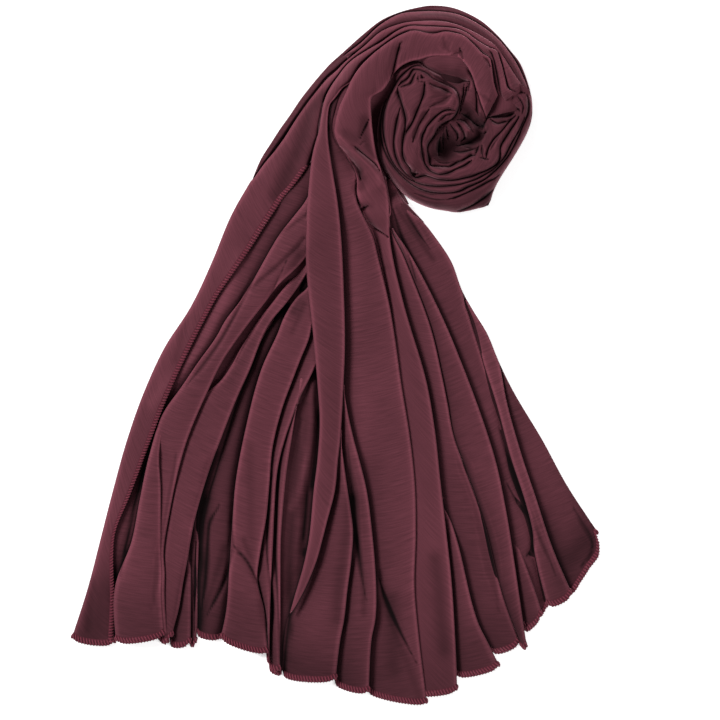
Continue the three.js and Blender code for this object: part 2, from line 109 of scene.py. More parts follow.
# Height in mm of the heap under the visible layers: place, x, y in the layout, height.
HEAP = [
    ("hem left", 80, 640, 0), ("hem mid", 280, 660, 0), ("hem right", 480, 640, 0),
    ("hem far right", 600, 540, 0), ("left mid", 140, 460, 0), ("mid", 320, 430, 0.6),
    ("right mid", 480, 420, 0.3), ("right far", 540, 430, 0), ("left upper", 205, 290, 0.5),
    ("mid upper", 330, 300, 4.5), ("right upper", 400, 290, 3.5), ("right upper side", 455, 280, 0.5),
    ("left neck side", 240, 215, 1.0), ("neck low", 320, 220, 11), ("neck low right", 385, 230, 7),
    ("neck right side", 425, 235, 1.5), ("left neck side up", 268, 155, 1.5), ("neck left", 282, 180, 9),
    ("neck mid", 322, 170, 16), ("neck right", 362, 185, 13), ("neck right edge", 396, 200, 5),
    ("neck up side", 300, 106, 2), ("neck up", 322, 120, 18), ("neck up right", 352, 130, 20),
    ("side", 338, 60, 2), ("side over", 378, 27, 3), ("band", 352, 72, 16), ("facet", 360, 100, 22),
    ("hole", 375, 120, 4), ("hole low", 384, 168, 4), ("top side", 430, 8, 3), ("top band", 430, 24, 17),
    ("facet top", 425, 45, 23), ("top right side", 492, 30, 3), ("top right", 480, 60, 22),
    ("right side", 530, 100, 3), ("right band", 510, 100, 17), ("right inner", 485, 100, 12),
    ("low right side", 514, 158, 3), ("low right", 498, 150, 17), ("low side", 450, 208, 2.5),
    ("low", 445, 188, 17), ("low left side", 398, 186, 3), ("left ring", 396, 140, 20),
    ("left ring side", 378, 140, 6), ("top ring", 415, 72, 19), ("petals", 415, 110, 25),
    ("petal right", 448, 95, 20), ("low petal", 440, 176, 20), ("hollow", 442, 148, 5),
    ("ruffle", 470, 130, 12), ("low left petal", 413, 150, 24),
]
heap_surface = surface(HEAP, 18.0, 1.5)


def heap(x, y):
    return np.maximum(heap_surface(x, y), 0)


# Fold edges of the fan: radius from GATHER in layout units, angle in degrees, + to the right.
EDGES = {
    "left side": [(160, -30.9), (200, -30.7), (250, -29.1), (300, -28.4), (350, -29), (400, -28.5),
        (450, -27.5), (500, -26.3), (550, -25.2), (600, -24.3), (660, -23.7)],
    "flap edge": [(125, -11.5), (140, -14.3), (160, -17.7), (180, -19.6), (200, -21), (220, -22),
        (250, -23.5), (280, -24.7), (300, -25), (350, -25.3), (400, -25.2), (450, -24.7), (500, -24.3),
        (540, -24.1), (560, -23.4), (600, -21.6), (644, -20.2)],
    "flap fold": [(150, -9), (163, -10.3), (180, -13), (200, -15.7), (220, -17.2), (240, -18.2),
        (260, -19.1), (280, -20.1), (300, -21.3), (320, -21.8), (350, -23), (380, -23.9), (410, -24.7),
        (450, -24.2), (500, -23), (540, -22.1), (590, -21.9), (650, -19.6)],
    "upper crease": [(178, -9.3), (185, -11.5), (195, -14), (200, -15.4), (260, -18.6)],
    "lower crease": [(200, -8.8), (210, -10.2), (220, -12), (230, -13.7), (240, -15.3), (250, -17),
        (265, -19)],
    "low pleat": [(395, -24.5), (410, -24), (430, -23.7), (450, -23), (480, -21.3), (500, -20.4),
        (520, -19.6), (540, -18.8), (560, -18), (580, -17.4), (600, -16.7), (640, -15.2)],
    "first pleat": [(140, -4.5), (190, -5.6), (212, -6.6), (222, -8), (235, -10.3), (250, -12.8),
        (270, -14.8), (300, -17.2), (320, -18.4), (340, -19.3), (380, -20), (420, -20.3), (450, -20.1),
        (500, -19.3), (540, -18.5), (560, -17.7), (580, -17.1), (600, -16.4), (640, -14.9)],
    "under first pleat": [(205, -5.6), (222, -6.8), (235, -8.6), (250, -11.2), (270, -13.4), (290, -15.2),
        (320, -16.9), (340, -17.6), (360, -18.6), (378, -20.2), (420, -21.1), (450, -20.9), (500, -20.1),
        (540, -19.3), (560, -18.5), (580, -17.9), (600, -17.2), (640, -15.7)],
    "low pleat inside": [(395, -24.9), (410, -24.9), (430, -24.6), (450, -23.9), (480, -22.2), (500, -21.3),
        (520, -20.5), (540, -19.7), (560, -18.9), (580, -18.3), (600, -17.6), (640, -16.1)],
    "second pleat crease": [(520, -15.9), (571, -15.6), (626, -15.1)],
    "second pleat": [(270, -10.8), (285, -12.5), (300, -13.5), (340, -14.5), (370, -15.3), (410, -15.9),
        (450, -16.3), (500, -16.3), (520, -16.1), (540, -15.85), (561, -15.66), (589, -15.36),
        (613, -15.33), (640, -15.2)],
    "small pleat": [(515, -16.1), (525, -15.97), (559, -14.93), (588, -14.2), (617, -13.54), (640, -13.1)],
    "smaller pleat": [(470, -16.6), (480, -16.47), (518, -15.24), (557, -14.29), (596, -13.34),
        (618, -12.96), (640, -12.6)],
    "under second pleat": [(215, -5.6), (235, -7.4), (252, -9.0), (270, -10.4), (285, -12.2), (300, -13.3),
        (340, -14.3), (370, -15.0), (400, -15.2), (450, -15.4), (480, -15.5), (500, -15.4), (520, -14.9),
        (540, -14.35), (557, -14.15), (596, -13.3), (630, -12.8)],
    "hollow crease": [(500, -12.2), (532, -12.3), (574, -12.8), (614, -13.2)],
    "third pleat": [(240, -5.6), (250, -6.5), (260, -8.4), (280, -10.3), (300, -11.1), (330, -12.4),
        (350, -12.8), (400, -12.95), (450, -12.7), (500, -11.9), (540, -11.3), (580, -10.8), (625, -10.9)],
    "third pleat crease": [(500, -10.7), (508, -10.2), (541, -8.4), (574, -7.1), (630, -5.9)],
    "fourth pleat": [(285, -4.5), (300, -5), (320, -6.1), (340, -7), (370, -8.1), (410, -8.7), (450, -8.4),
        (480, -8.2), (520, -8.3), (545, -8.2), (574, -7.1), (600, -6.55), (630, -6.1)],
    "fifth pleat": [(335, -4.0), (350, -5.05), (360, -5.7), (380, -6.45), (400, -7.1), (430, -7.6),
        (480, -7.3), (500, -7.1), (550, -6.7), (580, -6.45), (630, -6.0)],
    "sixth pleat": [(400, -6.2), (430, -6.4), (450, -6.4), (500, -6.2), (540, -5.8), (580, -5.4),
        (640, -4.95)],
    "strip crease": [(330, -3.6), (350, -3.7), (380, -3.5), (400, -3.5), (420, -3.8), (450, -4.5),
        (480, -5.4), (640, -4.9)],
    "strip left": [(85, -11), (100, -10.9), (120, -11.1), (130, -10.8), (150, -10.1), (180, -9.1),
        (200, -8.3), (220, -7.6), (250, -6.2), (280, -4.8), (300, -4.1), (320, -3.5), (350, -2.8),
        (380, -2.3), (420, -2.4), (450, -2.7), (500, -3), (525, -3.4), (560, -4.2), (600, -4.9),
        (645, -4.75)],
    "strip right": [(85, -5.5), (100, -4), (120, -2), (150, 0.3), (170, 1.2), (200, 1.8), (250, 2),
        (300, 1.9), (350, 1.35), (380, 1), (400, 0.75), (420, 0.4), (450, 0), (480, -0.9), (500, -1.45),
        (520, -2), (550, -3.15), (565, -3.85), (577, -4.42), (600, -4.6), (645, -4.6)],
    "strip pleat": [(385, 0.95), (400, 0.9), (430, 1.3), (450, 1.6), (470, 1.9), (490, 2.1), (520, 1.8),
        (550, 1.3), (580, 0.9), (600, 0.5), (650, -0.05)],
    "narrow pleat crease": [(480, 2.1), (490, 2.2), (500, 2.5), (520, 2.8), (540, 3), (560, 3), (600, 2.6),
        (650, 1.6)],
    "narrow pleat": [(335, 1.6), (350, 1.5), (370, 1.9), (400, 2.7), (420, 3.3), (450, 4), (490, 4.3),
        (550, 4.3), (580, 4), (600, 3.5), (660, 2.9)],
    "wide crease": [(520, 4.5), (540, 4.8), (560, 5.2), (600, 6), (640, 7), (670, 7.6)],
    "wide pleat": [(140, 8.8), (160, 7.6), (180, 9.3), (200, 10.9), (220, 11.2), (250, 11.5), (270, 11.6),
        (300, 11.4), (350, 10.9), (400, 10.7), (450, 10.2), (500, 9.3), (550, 8.3), (600, 8), (672, 7.9)],
    "under wide pleat": [(140, 8.8), (160, 7.6), (180, 9.3), (200, 10.9), (230, 11.3), (260, 11.2),
        (300, 10.2), (350, 9.4), (400, 9.2), (450, 8.7), (500, 7.9), (550, 7.0), (600, 6.7), (672, 6.6)],
    "facet pleat": [(140, 18.3), (160, 18.6), (180, 17.5), (200, 15.8), (220, 15), (270, 14.6), (350, 15),
        (400, 14.4), (450, 13.5), (500, 12.8), (550, 12.2), (600, 11.5), (665, 10.6)],
    "facet pleat low": [(465, 13.15), (480, 13.2), (500, 13.6), (600, 13.8), (620, 14.2), (650, 14.8)],
    "right pleat": [(195, 16.4), (205, 16.7), (220, 17.4), (250, 18), (300, 18.4), (350, 17.7), (380, 17.2),
        (410, 16.7), (450, 16.9), (500, 17.2), (580, 16.8), (640, 17.1)],
    "right panel": [(195, 16.9), (205, 17.7), (220, 18.9), (250, 20.2), (300, 21.2), (350, 21.4),
        (400, 21.3), (450, 20.9), (500, 20), (550, 19), (600, 18.1), (640, 17.5)],
    "right panel low": [(505, 20.2), (530, 20), (600, 19.9), (620, 19.7)],
    "sheer panel": [(235, 24.4), (255, 25.4), (275, 26.0), (295, 26.1), (320, 25.5), (350, 24.8),
        (400, 23.9), (450, 22.9), (500, 22.4), (530, 21.9), (545, 21.4), (620, 20.4)],
    "side fold": [(350, 27.2), (360, 27), (400, 25.4), (450, 24.3), (500, 23.7), (550, 23.2), (620, 23.2)],
    "neck crease": [(150, 21), (180, 20.7), (200, 22), (220, 23.3), (240, 24.4), (270, 26.2), (290, 27)],
    "right side": [(165, 22.4), (185, 23.2), (200, 25.6), (220, 26.9), (250, 27.7), (280, 26.9), (300, 27),
        (330, 27.4), (360, 27), (390, 26.9), (450, 27.4), (500, 27.5), (540, 27.9), (575, 28.3)],
}


def fan_edge(name):
    radii, angles = zip(*EDGES[name])

    def at(r):
        a = np.radians(curve(radii, angles, r))
        return GATHER[0] + r * np.sin(a), GATHER[1] + r * np.cos(a)
    return at


def as_edge(edge):
    """A name in EDGES, or an edge as it is."""
    return fan_edge(edge) if isinstance(edge, str) else edge


def joined_edge(first, second, at_radius, blend):
    """One edge that follows first up to a radius and second beyond it."""
    one, two = fan_edge(first), fan_edge(second)

    def at(r):
        w = smoothstep(r, at_radius - blend, at_radius + blend)
        (x0, y0), (x1, y1) = one(r), two(r)
        return x0 + (x1 - x0) * w, y0 + (y1 - y0) * w
    return at


def path_edge(points):
    xs, ys = zip(*points)
    ts = np.arange(len(points), dtype=float)

    def at(t):
        return curve(ts, xs, t), curve(ts, ys, t)
    return at


def carried_on(edge, join, points):
    """An edge of the fan carried on past the radius join through more points, LEAD apart."""
    rs = np.arange(join, 690.0, 8.0)
    xs, ys = as_edge(edge)(rs)
    ts = np.concatenate([join - LEAD * np.arange(len(points), 0, -1), rs])
    px, py = zip(*points[::-1])
    xs, ys = np.concatenate([px, xs]), np.concatenate([py, ys])

    def at(t):
        return curve(ts, xs, t), curve(ts, ys, t)
    return at


def edges_on(first, second, join, table):
    """Two edges of the fan, each carried on past join through one side of a ribbon table."""
    return (carried_on(first, join, [(a, b) for a, b, _, _ in table]),
            carried_on(second, join, [(c, d) for *_, c, d in table]))


def start_of(join, table):
    """First t of edges carried on through a ribbon table."""
    return join - LEAD * len(table)


# Cloth
def quads(index):
    """Faces of a grid of vertex numbers."""
    corners = [index[:-1, :-1], index[:-1, 1:], index[1:, 1:], index[1:, :-1]]
    return np.stack(corners, -1).reshape(-1, 4)


class Sheet:
    """Vertices, faces, cloth coordinates and painted shade and highlight of one piece, gathered strip by
    strip.
    """

    def __init__(self):
        self.points, self.faces, self.uvs, self.tones, self.count = [], [], [], [], 0

    def add(self, points, uv, tone):
        """Adds a grid's points and gives their numbers."""
        shape = points.shape[:2]
        index = np.arange(shape[0] * shape[1]).reshape(shape) + self.count
        self.points.append(points.reshape(-1, 3))
        self.uvs.append(uv.reshape(-1, 2))
        self.tones.append(np.broadcast_to(tone, shape).reshape(-1))
        self.count += index.size
        return index

    def grid(self, points, uv, tone):
        self.faces.append(quads(self.add(points, uv, tone)))

    def shell(self, points, uv, tone):
        """The grid as a thin closed shell of cloth."""
        n = unit(np.cross(np.gradient(points, axis=1), np.gradient(points, axis=0)))
        if n[..., 2].mean() < 0:
            n = -n
        under = points - n * CLOTH / 1000.0
        under[..., 2] = np.maximum(under[..., 2], FLOOR)
        top, low = self.add(points, uv, tone), self.add(under, uv, tone)
        self.faces += [quads(top), quads(low)[:, [0, 3, 2, 1]]]
        for side in (np.s_[:, 0], np.s_[::-1, -1], np.s_[0, ::-1], np.s_[-1, :]):
            a, b = top[side], low[side]
            self.faces.append(np.stack([a[:-1], a[1:], b[1:], b[:-1]], -1))

    def build(self, name, material):
        faces = np.concatenate(self.faces)
        mesh = bpy.data.meshes.new(name)
        mesh.from_pydata(np.concatenate(self.points).tolist(), [], faces.tolist())
        # Painted shade and highlight, stored halved in a second UV map
        tone = np.clip(np.concatenate(self.tones) / 2, 0.02, 1)
        layers = {"cloth": np.concatenate(self.uvs), "tone": np.stack([tone, np.zeros_like(tone)], -1)}
        for layer, values in layers.items():
            data = mesh.uv_layers.new(name=layer).data
            data.foreach_set("uv", values[faces.reshape(-1)].astype(np.float32).reshape(-1))
        mesh.uv_layers["cloth"].active_render = True
        mesh.shade_smooth()
        mesh.materials.append(material)
        piece = bpy.data.objects.new(name, mesh)
        bpy.context.collection.objects.link(piece)
        return piece


def ripple(x, y):
    """Slight unevenness of laid cloth, in mm, the same for neighbouring layers."""
    return (0.32 * np.sin(x / 17.0 + 0.6 * np.sin(y / 41.0)) * np.sin(y / 37.0 + 1.3)
            + 0.22 * np.sin(x / 9.1 + y / 23.0 + 2.0) + 0.12 * np.sin(x / 5.3 - y / 13.0))


def level(spec, t):
    """A value along a stretch: a number, or pairs (t, value)."""
    if isinstance(spec, (int, float)):
        return np.full_like(t, float(spec))
    return np.interp(t, *zip(*spec))


# Lines and folds drawn into the cloth
REACH = 12.0                   # units beside a fold within which it is worked out


def nearest(x, y, points):
    """Distance to a line, which side of it (+1 its left) and how far along, in segments."""
    p = np.array(points, float)
    best, side, along = np.full(np.shape(x), 1e9), np.ones(np.shape(x)), np.zeros(np.shape(x))
    for i, (a, b) in enumerate(zip(p[:-1], p[1:])):
        d = b - a
        f = np.clip(((x - a[0]) * d[0] + (y - a[1]) * d[1]) / max(d @ d, 1e-9), 0, 1)
        dist = np.hypot(x - a[0] - f * d[0], y - a[1] - f * d[1])
        closer = dist < best
        best = np.where(closer, dist, best)
        side = np.where(closer, np.sign(d[0] * (y - a[1]) - d[1] * (x - a[0])), side)
        along = np.where(closer, i + f, along)
    return best, side, along


def valley(points, depth, width):
    """A soft crease along a line in the layout: depth in mm (+ is a ridge), width in units."""
    return lambda x, y: depth * np.exp(-(nearest(x, y, points)[0] / width) ** 2)


def edge_valley(name, r0, r1, depth, width, count=12):
    """A soft crease along an edge of the fan, from radius r0 to r1."""
    return valley(list(zip(*fan_edge(name)(np.linspace(r0, r1, count)))), depth, width)


def beside(table, shift, first=0, last=None):
    """A fold along the outer edge of a ribbon, shift units outside it."""
    rows = np.array(table[first:last], float)
    line = rows[:, :2] + unit(rows[:, :2] - rows[:, 2:]) * shift
    return ("beside", 3.2, 1.3, [tuple(p) for p in line])


def lap_of(side, along, sx, sy, ground):
    """How much a fold's side laps over (+) or lies under (-) the other, from the ground's slope."""
    nx, ny = -np.gradient(sy), np.gradient(sx)
    size = np.maximum(np.hypot(nx, ny), 1e-6)
    nx, ny = 4 * nx / size, 4 * ny / size
    rise = np.clip((ground(sx + nx, sy + ny) - ground(sx - nx, sy - ny)) / 5.0, -1, 1)
    return side * np.interp(along, np.arange(len(sx)), rise)


def drawn(x, y, folds, ground=None, soft=False):
    """What folds (name, depth, width, points) take from the height, and the painted shade in their roots and
    painted highlight on their lips.

    With ground, a height of (x, y), a fold's higher side laps over its lower one.  Soft folds
    have rounded roots, for the wider spacing of the fan's rows.
    """
    cut, dark, light = np.zeros_like(x), np.zeros_like(x), np.zeros_like(x)
    for number, (_, depth, width, points) in enumerate(folds):
        px, py = zip(*points)
        if (x.min() > max(px) + REACH or x.max() < min(px) - REACH
                or y.min() > max(py) + REACH or y.max() < min(py) - REACH):
            continue
        count = 3 * len(points)
        sx, sy = path_edge(points)(np.linspace(0, len(points) - 1, count))
        d, side, along = nearest(x, y, list(zip(sx, sy)))
        ends = np.clip(np.minimum(along, count - 1 - along) / 3.0, 0.4, 1.0)
        w = width * ends * (0.92 + 0.2 * np.sin(0.55 * along + 1.7 * number))
        lap = np.zeros_like(d) if ground is None else lap_of(side, along, sx, sy, ground)
        low, high = np.clip(-lap, 0, 1), np.clip(lap, 0, 1)
        # Painted shade in the fold's root and on its lower side, painted highlight on the lip of its higher
        # side
        root = min(1.0, 0.34 * depth ** 0.9) * min(1.0, (1.5 / width) ** 0.9)
        dark = np.maximum(dark, root * np.exp(-(d / (0.95 * w)) ** 1.5))
        dark = np.maximum(dark, ends * low * 0.5 * np.exp(-d / (3.0 * width)))
        light = np.maximum(light, ends * (0.2 + 0.4 * high) * np.exp(-((d - 1.9 * w) / 1.1) ** 2))
        if soft:
            cut = np.maximum(cut, 0.8 * depth * ends * np.exp(-(d / (1.9 * w)) ** 2))
        else:
            broad = (0.3 + 0.3 * low) * ends * np.exp(-(d / (2.8 * width)) ** 2)
            cut = np.maximum(cut, depth * (1.15 * np.exp(-d / (0.8 * w)) + broad))
    return cut, dark, light


# Stretches of cloth between two edges.
# Columns past the side of a stretch, from the cloth outwards: kind and value.
PAST_SIDE = {
    "edge": [],
    "under": [("out", 0.15), ("out", 0.5), ("out", 1.0)],
    "over": [("arc", a) for a in np.radians([20, 40, 65, 90, 120, 150, 180])] + [("ret", 0.45), ("ret", 1.0)],
    "side": [("drop", a) for a in np.radians([15, 30, 50, 70, 90, 110, 140, 170])],
}
ROLL_PAINTED_LIGHT = ([0.3, 1.2, 1.6, 2.2], [1.85, 1.7, 0.9, 0.3])      # painted highlight on top and painted shade underneath, at angles round a rolled edge


def columns(sides, across):
    """(share across, kind, value) of each column of a stretch, from left to right."""
    before, after = PAST_SIDE[sides[0]], PAST_SIDE[sides[1]]
    return ([(0, kind, value) for kind, value in reversed(before)]
            + [(s, "mid", 0) for s in np.linspace(0, 1, across + 1)]
            + [(1, kind, value) for kind, value in after])


def past_side(kind, a, roll, fall, hide, z):
    """How far in from its side a column past it lies, in mm, its height and its painted light: shade where it
    runs under a neighbour or turns back under a roll, highlight round the roll.
    """
    if kind == "out":
        return -a * SLIP, z - 0.5 * a, 0.42
    if kind == "arc":
        return roll - roll * np.sin(a), z - roll + roll * np.cos(a), np.interp(a, *ROLL_PAINTED_LIGHT)
    if kind == "ret":
        return roll + a * (hide - roll).clip(0), z - 2 * roll - 0.35 * a, 0.3
    turned = 0.5 * (1 - np.sin(a)) if a > math.pi / 2 else 0
    return fall * (1 - np.sin(min(a, math.pi / 2)) + turned), z, 1.0


def painted_side_light(side, away):
    """Painted shade beside a neighbour that lies over, painted highlight beside a rolled edge, away mm from
    it.
    """
    if side == "under":
        return -0.55 * np.exp(-away / 1.5) - 0.36 * np.exp(-away / 10.0)
    if side == "over":
        return 0.7 * np.exp(-away / 1.2) + 0.22 * np.exp(-away / 6.0)
    return 0.0


def row_shares(span, last, per_t, step, fine):
    """Where along a stretch its rows are, with closer rows from the start to t = fine."""
    t0, t1 = span
    if fine is None:
        return np.linspace(0, 1, max(4, int(abs(last - t0) * per_t / step) + 1))
    share = (fine - t0) / (t1 - t0)
    close = int((fine - t0) * per_t / FINE_STEP)
    return np.append(np.linspace(0, share, close, endpoint=False),
                     np.linspace(share, 1, max(4, int((t1 - fine) * per_t / step))))


def strip(sheet, left, right, span, sides, levels, across=14, step=3.0, crown=0.05, ease=1.35,
          end=None, per_t=1.0, creases=(), lowest=0.9, hem=False, serge=None, rests=None,
          folds=(), soft_folds=(), fine=None, tones=1.0, short=5.0):
    """A stretch of cloth between two edges.

    sides: what each side does: over (rolled edge), under (runs below its neighbour), side
    (rounds down to the floor) or edge (plain cut edge).  span: first and last t of the edges.
    levels: height of each side above the heap in mm.  end: last t at the left and right side,
    where they differ, or pairs (share across, t).  per_t: layout units in one t.  ease: how
    steeply the cloth climbs beside its lower side.  rests: heights that stand in for the heap.
    serge: t from which the right side is overlocked.  short: how far the part tucked under a
    neighbour stops before the hem.
    """
    ends = end or (span[1], span[1])
    if not isinstance(ends, list):
        ends = [(0, ends[0]), (1, ends[1])]
    cols = columns(sides, across)
    share = np.array([[s for s, _, _ in cols]], float)
    last = np.interp(share, *zip(*ends))
    if hem:                                      # the hem bows out and turns round at its ends
        last = last + BOW * 4 * share * (1 - share) - TURN * np.abs(2 * share - 1) ** 7
        last = last - np.array([[{"out": short, "ret": BACK}.get(kind, 0) for _, kind, _ in cols]])
    v = row_shares(span, max(e for _, e in ends), per_t, step, fine)[:, None]
    t = span[0] + (last - span[0]) * v
    (xl, yl), (xr, yr) = left(t), right(t)
    dx, dy = (xr - xl) * UNIT, (yr - yl) * UNIT
    width = np.maximum(np.hypot(dx, dy), 1e-3)
    k = np.clip(width / (4 * ROUND), 0.05, 1.0)
    roll, fall = ROUND * k, FALL * k
    insets = {"over": roll, "side": fall}
    in_l, in_r = (insets.get(side, np.zeros_like(t)) for side in sides)
    zl, zr, bend = (level(spec, t) for spec in (*levels, ease))
    hide = np.minimum(TUCK, 0.45 * width)
    pos, z, tone = np.zeros_like(t), np.zeros_like(t), np.ones_like(t)
    for j, (s, kind, a) in enumerate(cols):
        w = width[:, j]
        if kind == "mid":
            pos[:, j] = s * w + in_l[:, j] * (1 - s) - in_r[:, j] * s
            climb = zr[:, j] - zl[:, j]
            climbed = np.where(climb >= 0, 1 - (1 - s) ** bend[:, j], s ** bend[:, j])
            z[:, j] = zl[:, j] + climb * climbed + np.minimum(1.7 * crown * w, 4.5) * 4 * s * (1 - s)
            tone[:, j] += painted_side_light(sides[0], s * w) + painted_side_light(sides[1], (1 - s) * w)
        else:
            z_side = zl[:, j] if s == 0 else zr[:, j]
            inward, z[:, j], tone[:, j] = past_side(kind, a, roll[:, j], fall[:, j], hide[:, j], z_side)
            pos[:, j] = inward if s == 0 else w - inward
    x = xl + dx / width * pos / UNIT
    y = yl + dy / width * pos / UNIT
    base = heap(x, y)
    if rests is not None:                        # blended into the heap over the last 60
        own = smoothstep(t, rests[-1][0], rests[-1][0] - 60)
        base = base * (1 - own) + level(rests, t) * own
    z = z + base + ripple(x * UNIT, y * UNIT)
    for j, (_, kind, a) in enumerate(cols):
        if kind == "drop":
            z[:, j] = RIM + (z[:, j] - RIM) * (0.5 + 0.5 * np.cos(a)) ** 0.8
    shape = sum(crease(x, y) for crease in creases)
    z += shape
    # Painted shade in the creases and hollows, painted highlight on their ridges
    tone += np.clip(0.16 * shape, -0.5, 0.3)
    for lines, soft in ((folds, False), (soft_folds, True)):
        cut, dark, light = drawn(x, y, lines, soft=soft)
        z -= cut
        # Painted highlight on the folds' lips and painted shade in their roots
        tone = tone * (1 + light * (1 - dark)) - dark
    if hem:                                      # painted shade where the cloth falls to its hem
        tone *= 1.09 - 0.36 * smoothstep(last - t, 90, 0)
    # Painted shade (below 1) or painted highlight (above 1) set along the stretch
    tone *= level(tones, t)
    if sides == ("under", "under"):              # painted shade all over, between two neighbours
        tone *= 0.84
    z = np.maximum(z, [lowest * (0.5 if kind == "out" else 1) for _, kind, _ in cols])
    steps = np.hypot(np.diff(x, axis=0, prepend=x[:1]), np.diff(y, axis=0, prepend=y[:1]))
    flat = np.hypot(np.diff(pos, axis=1, prepend=pos[:, :1]), np.diff(z, axis=1, prepend=z[:, :1]))
    uv = np.stack([np.cumsum(flat, axis=1) + xl.mean() * UNIT, np.cumsum(steps, axis=0) * UNIT], -1) / 1000.0
    points = row_point(x, y, z)
    sheet.shell(points, uv, tone)
    if hem:
        seen = [j for j, (_, kind, _) in enumerate(cols) if kind in ("mid", "arc", "drop")]
        overlock(points[::-1][:HEM_ROWS, seen].transpose(1, 0, 2))
    if serge is not None:
        overlock(points[t[:, -1] >= serge][:, ::-1][:, :EDGE_COLUMNS])


# Overlocking, in mm
STITCH = 2.5                   # from one stitch to the next
THREAD = 0.62                  # half thickness of a stitch
EDGE_STEP = 0.9                # between the points of an overlocked edge
# Across the band, from its inner edge round the cloth's edge: in from the edge, above the cloth.
BAND_SECTION = [(4.8, -0.1), (4.3, 0.35), (3.0, 0.5), (1.6, 0.6), (0.4, 0.55), (-0.4, 0.2), (-0.6, -0.3),
                (-0.3, -0.8), (1.0, -0.95), (3.0, -0.9), (4.4, -0.5)]
# One stitch: in from the edge, above the cloth, along the edge, share of THREAD.
STITCH_LINE = [(4.5, 0.2, 0.0, 0.35), (3.4, 0.75, 0.5, 0.9), (2.0, 0.9, 1.1, 1), (0.6, 0.85, 1.7, 1),
               (-0.5, 0.4, 2.1, 1), (-0.8, -0.3, 2.3, 0.8), (-0.2, -0.9, 2.5, 0.4)]
TUBE = [(math.cos(a), math.sin(a)) for a in np.radians(np.arange(0, 361, 72))]


def plain_uv(us, vs):
    return np.stack(np.meshgrid(us, vs, indexing="ij"), -1)


def overlock(grid):
    """Overlocking along the edge at grid[:, 0], whose second axis runs into the cloth.

    It goes to the sheet stitching: one band round the edge and a small tube for each stitch.
    """
    run = np.append(0, np.cumsum(np.linalg.norm(np.diff(grid[:, 0], axis=0), axis=1)))
    count = max(4, int(run[-1] * 1000 / EDGE_STEP))
    want = np.linspace(0, run[-1], count)
    even = np.array([[np.interp(want, run, line) for line in column.T] for column in grid.transpose(1, 0, 2)])
    even = even.transpose(2, 0, 1)
    depth = np.cumsum(np.linalg.norm(np.diff(even, axis=1, prepend=even[:, :1]), axis=2), axis=1)
    inward = unit(even[:, 1] - even[:, 0])
    normal = unit(np.cross(unit(np.gradient(even[:, 0], axis=0)), inward))
    if normal[:, 2].mean() < 0:
        normal = -normal

    def place(i, d, lift):
        """Point i of the edge, d mm into the cloth and lift mm above it."""
        d /= 1000.0
        if d < 0:
            p = even[i, 0] + inward[i] * d
        else:
            p = np.array([np.interp(d, depth[i], even[i, :, k]) for k in range(3)])
        return p + normal[i] * lift / 1000.0

    def stitch_point(on, d, lift):
        """The same at a place on between two points of the edge."""
        i = min(int(on), count - 2)
        f = min(on - i, 1.0)
        return place(i, d, lift) * (1 - f) + place(i + 1, d, lift) * f

    band = np.array([[place(i, d, lift) for d, lift in BAND_SECTION] for i in range(count)])
    band[..., 2] = np.maximum(band[..., 2], 1.5 * FLOOR)
    stitching.grid(band, plain_uv(want, [d / 1000 for d, _ in BAND_SECTION]), 0.6)
    thick = THREAD * np.array([[share] for *_, share in STITCH_LINE]) / 1000
    tube_uv = plain_uv(np.arange(len(STITCH_LINE)) / 1000, np.arange(len(TUBE)) / 1500)
    for first in np.arange(0.5, count - 3.2, STITCH / EDGE_STEP):
        line = np.array([stitch_point(first + on / EDGE_STEP, d, lift) for d, lift, on, _ in STITCH_LINE])
        way = unit(np.gradient(line, axis=0))
        aside = unit(np.cross(way, normal[min(int(first), count - 1)]))
        over = np.cross(aside, way)
        tube = np.stack([line + (aside * c + over * s * 0.7) * thick for c, s in TUBE], 1)
        tube[..., 2] = np.maximum(tube[..., 2], FLOOR)
        stitching.grid(tube, tube_uv, 1.3)


# Materials
def set_inputs(node, values):
    for name, value in values.items():
        node.inputs[name].default_value = value


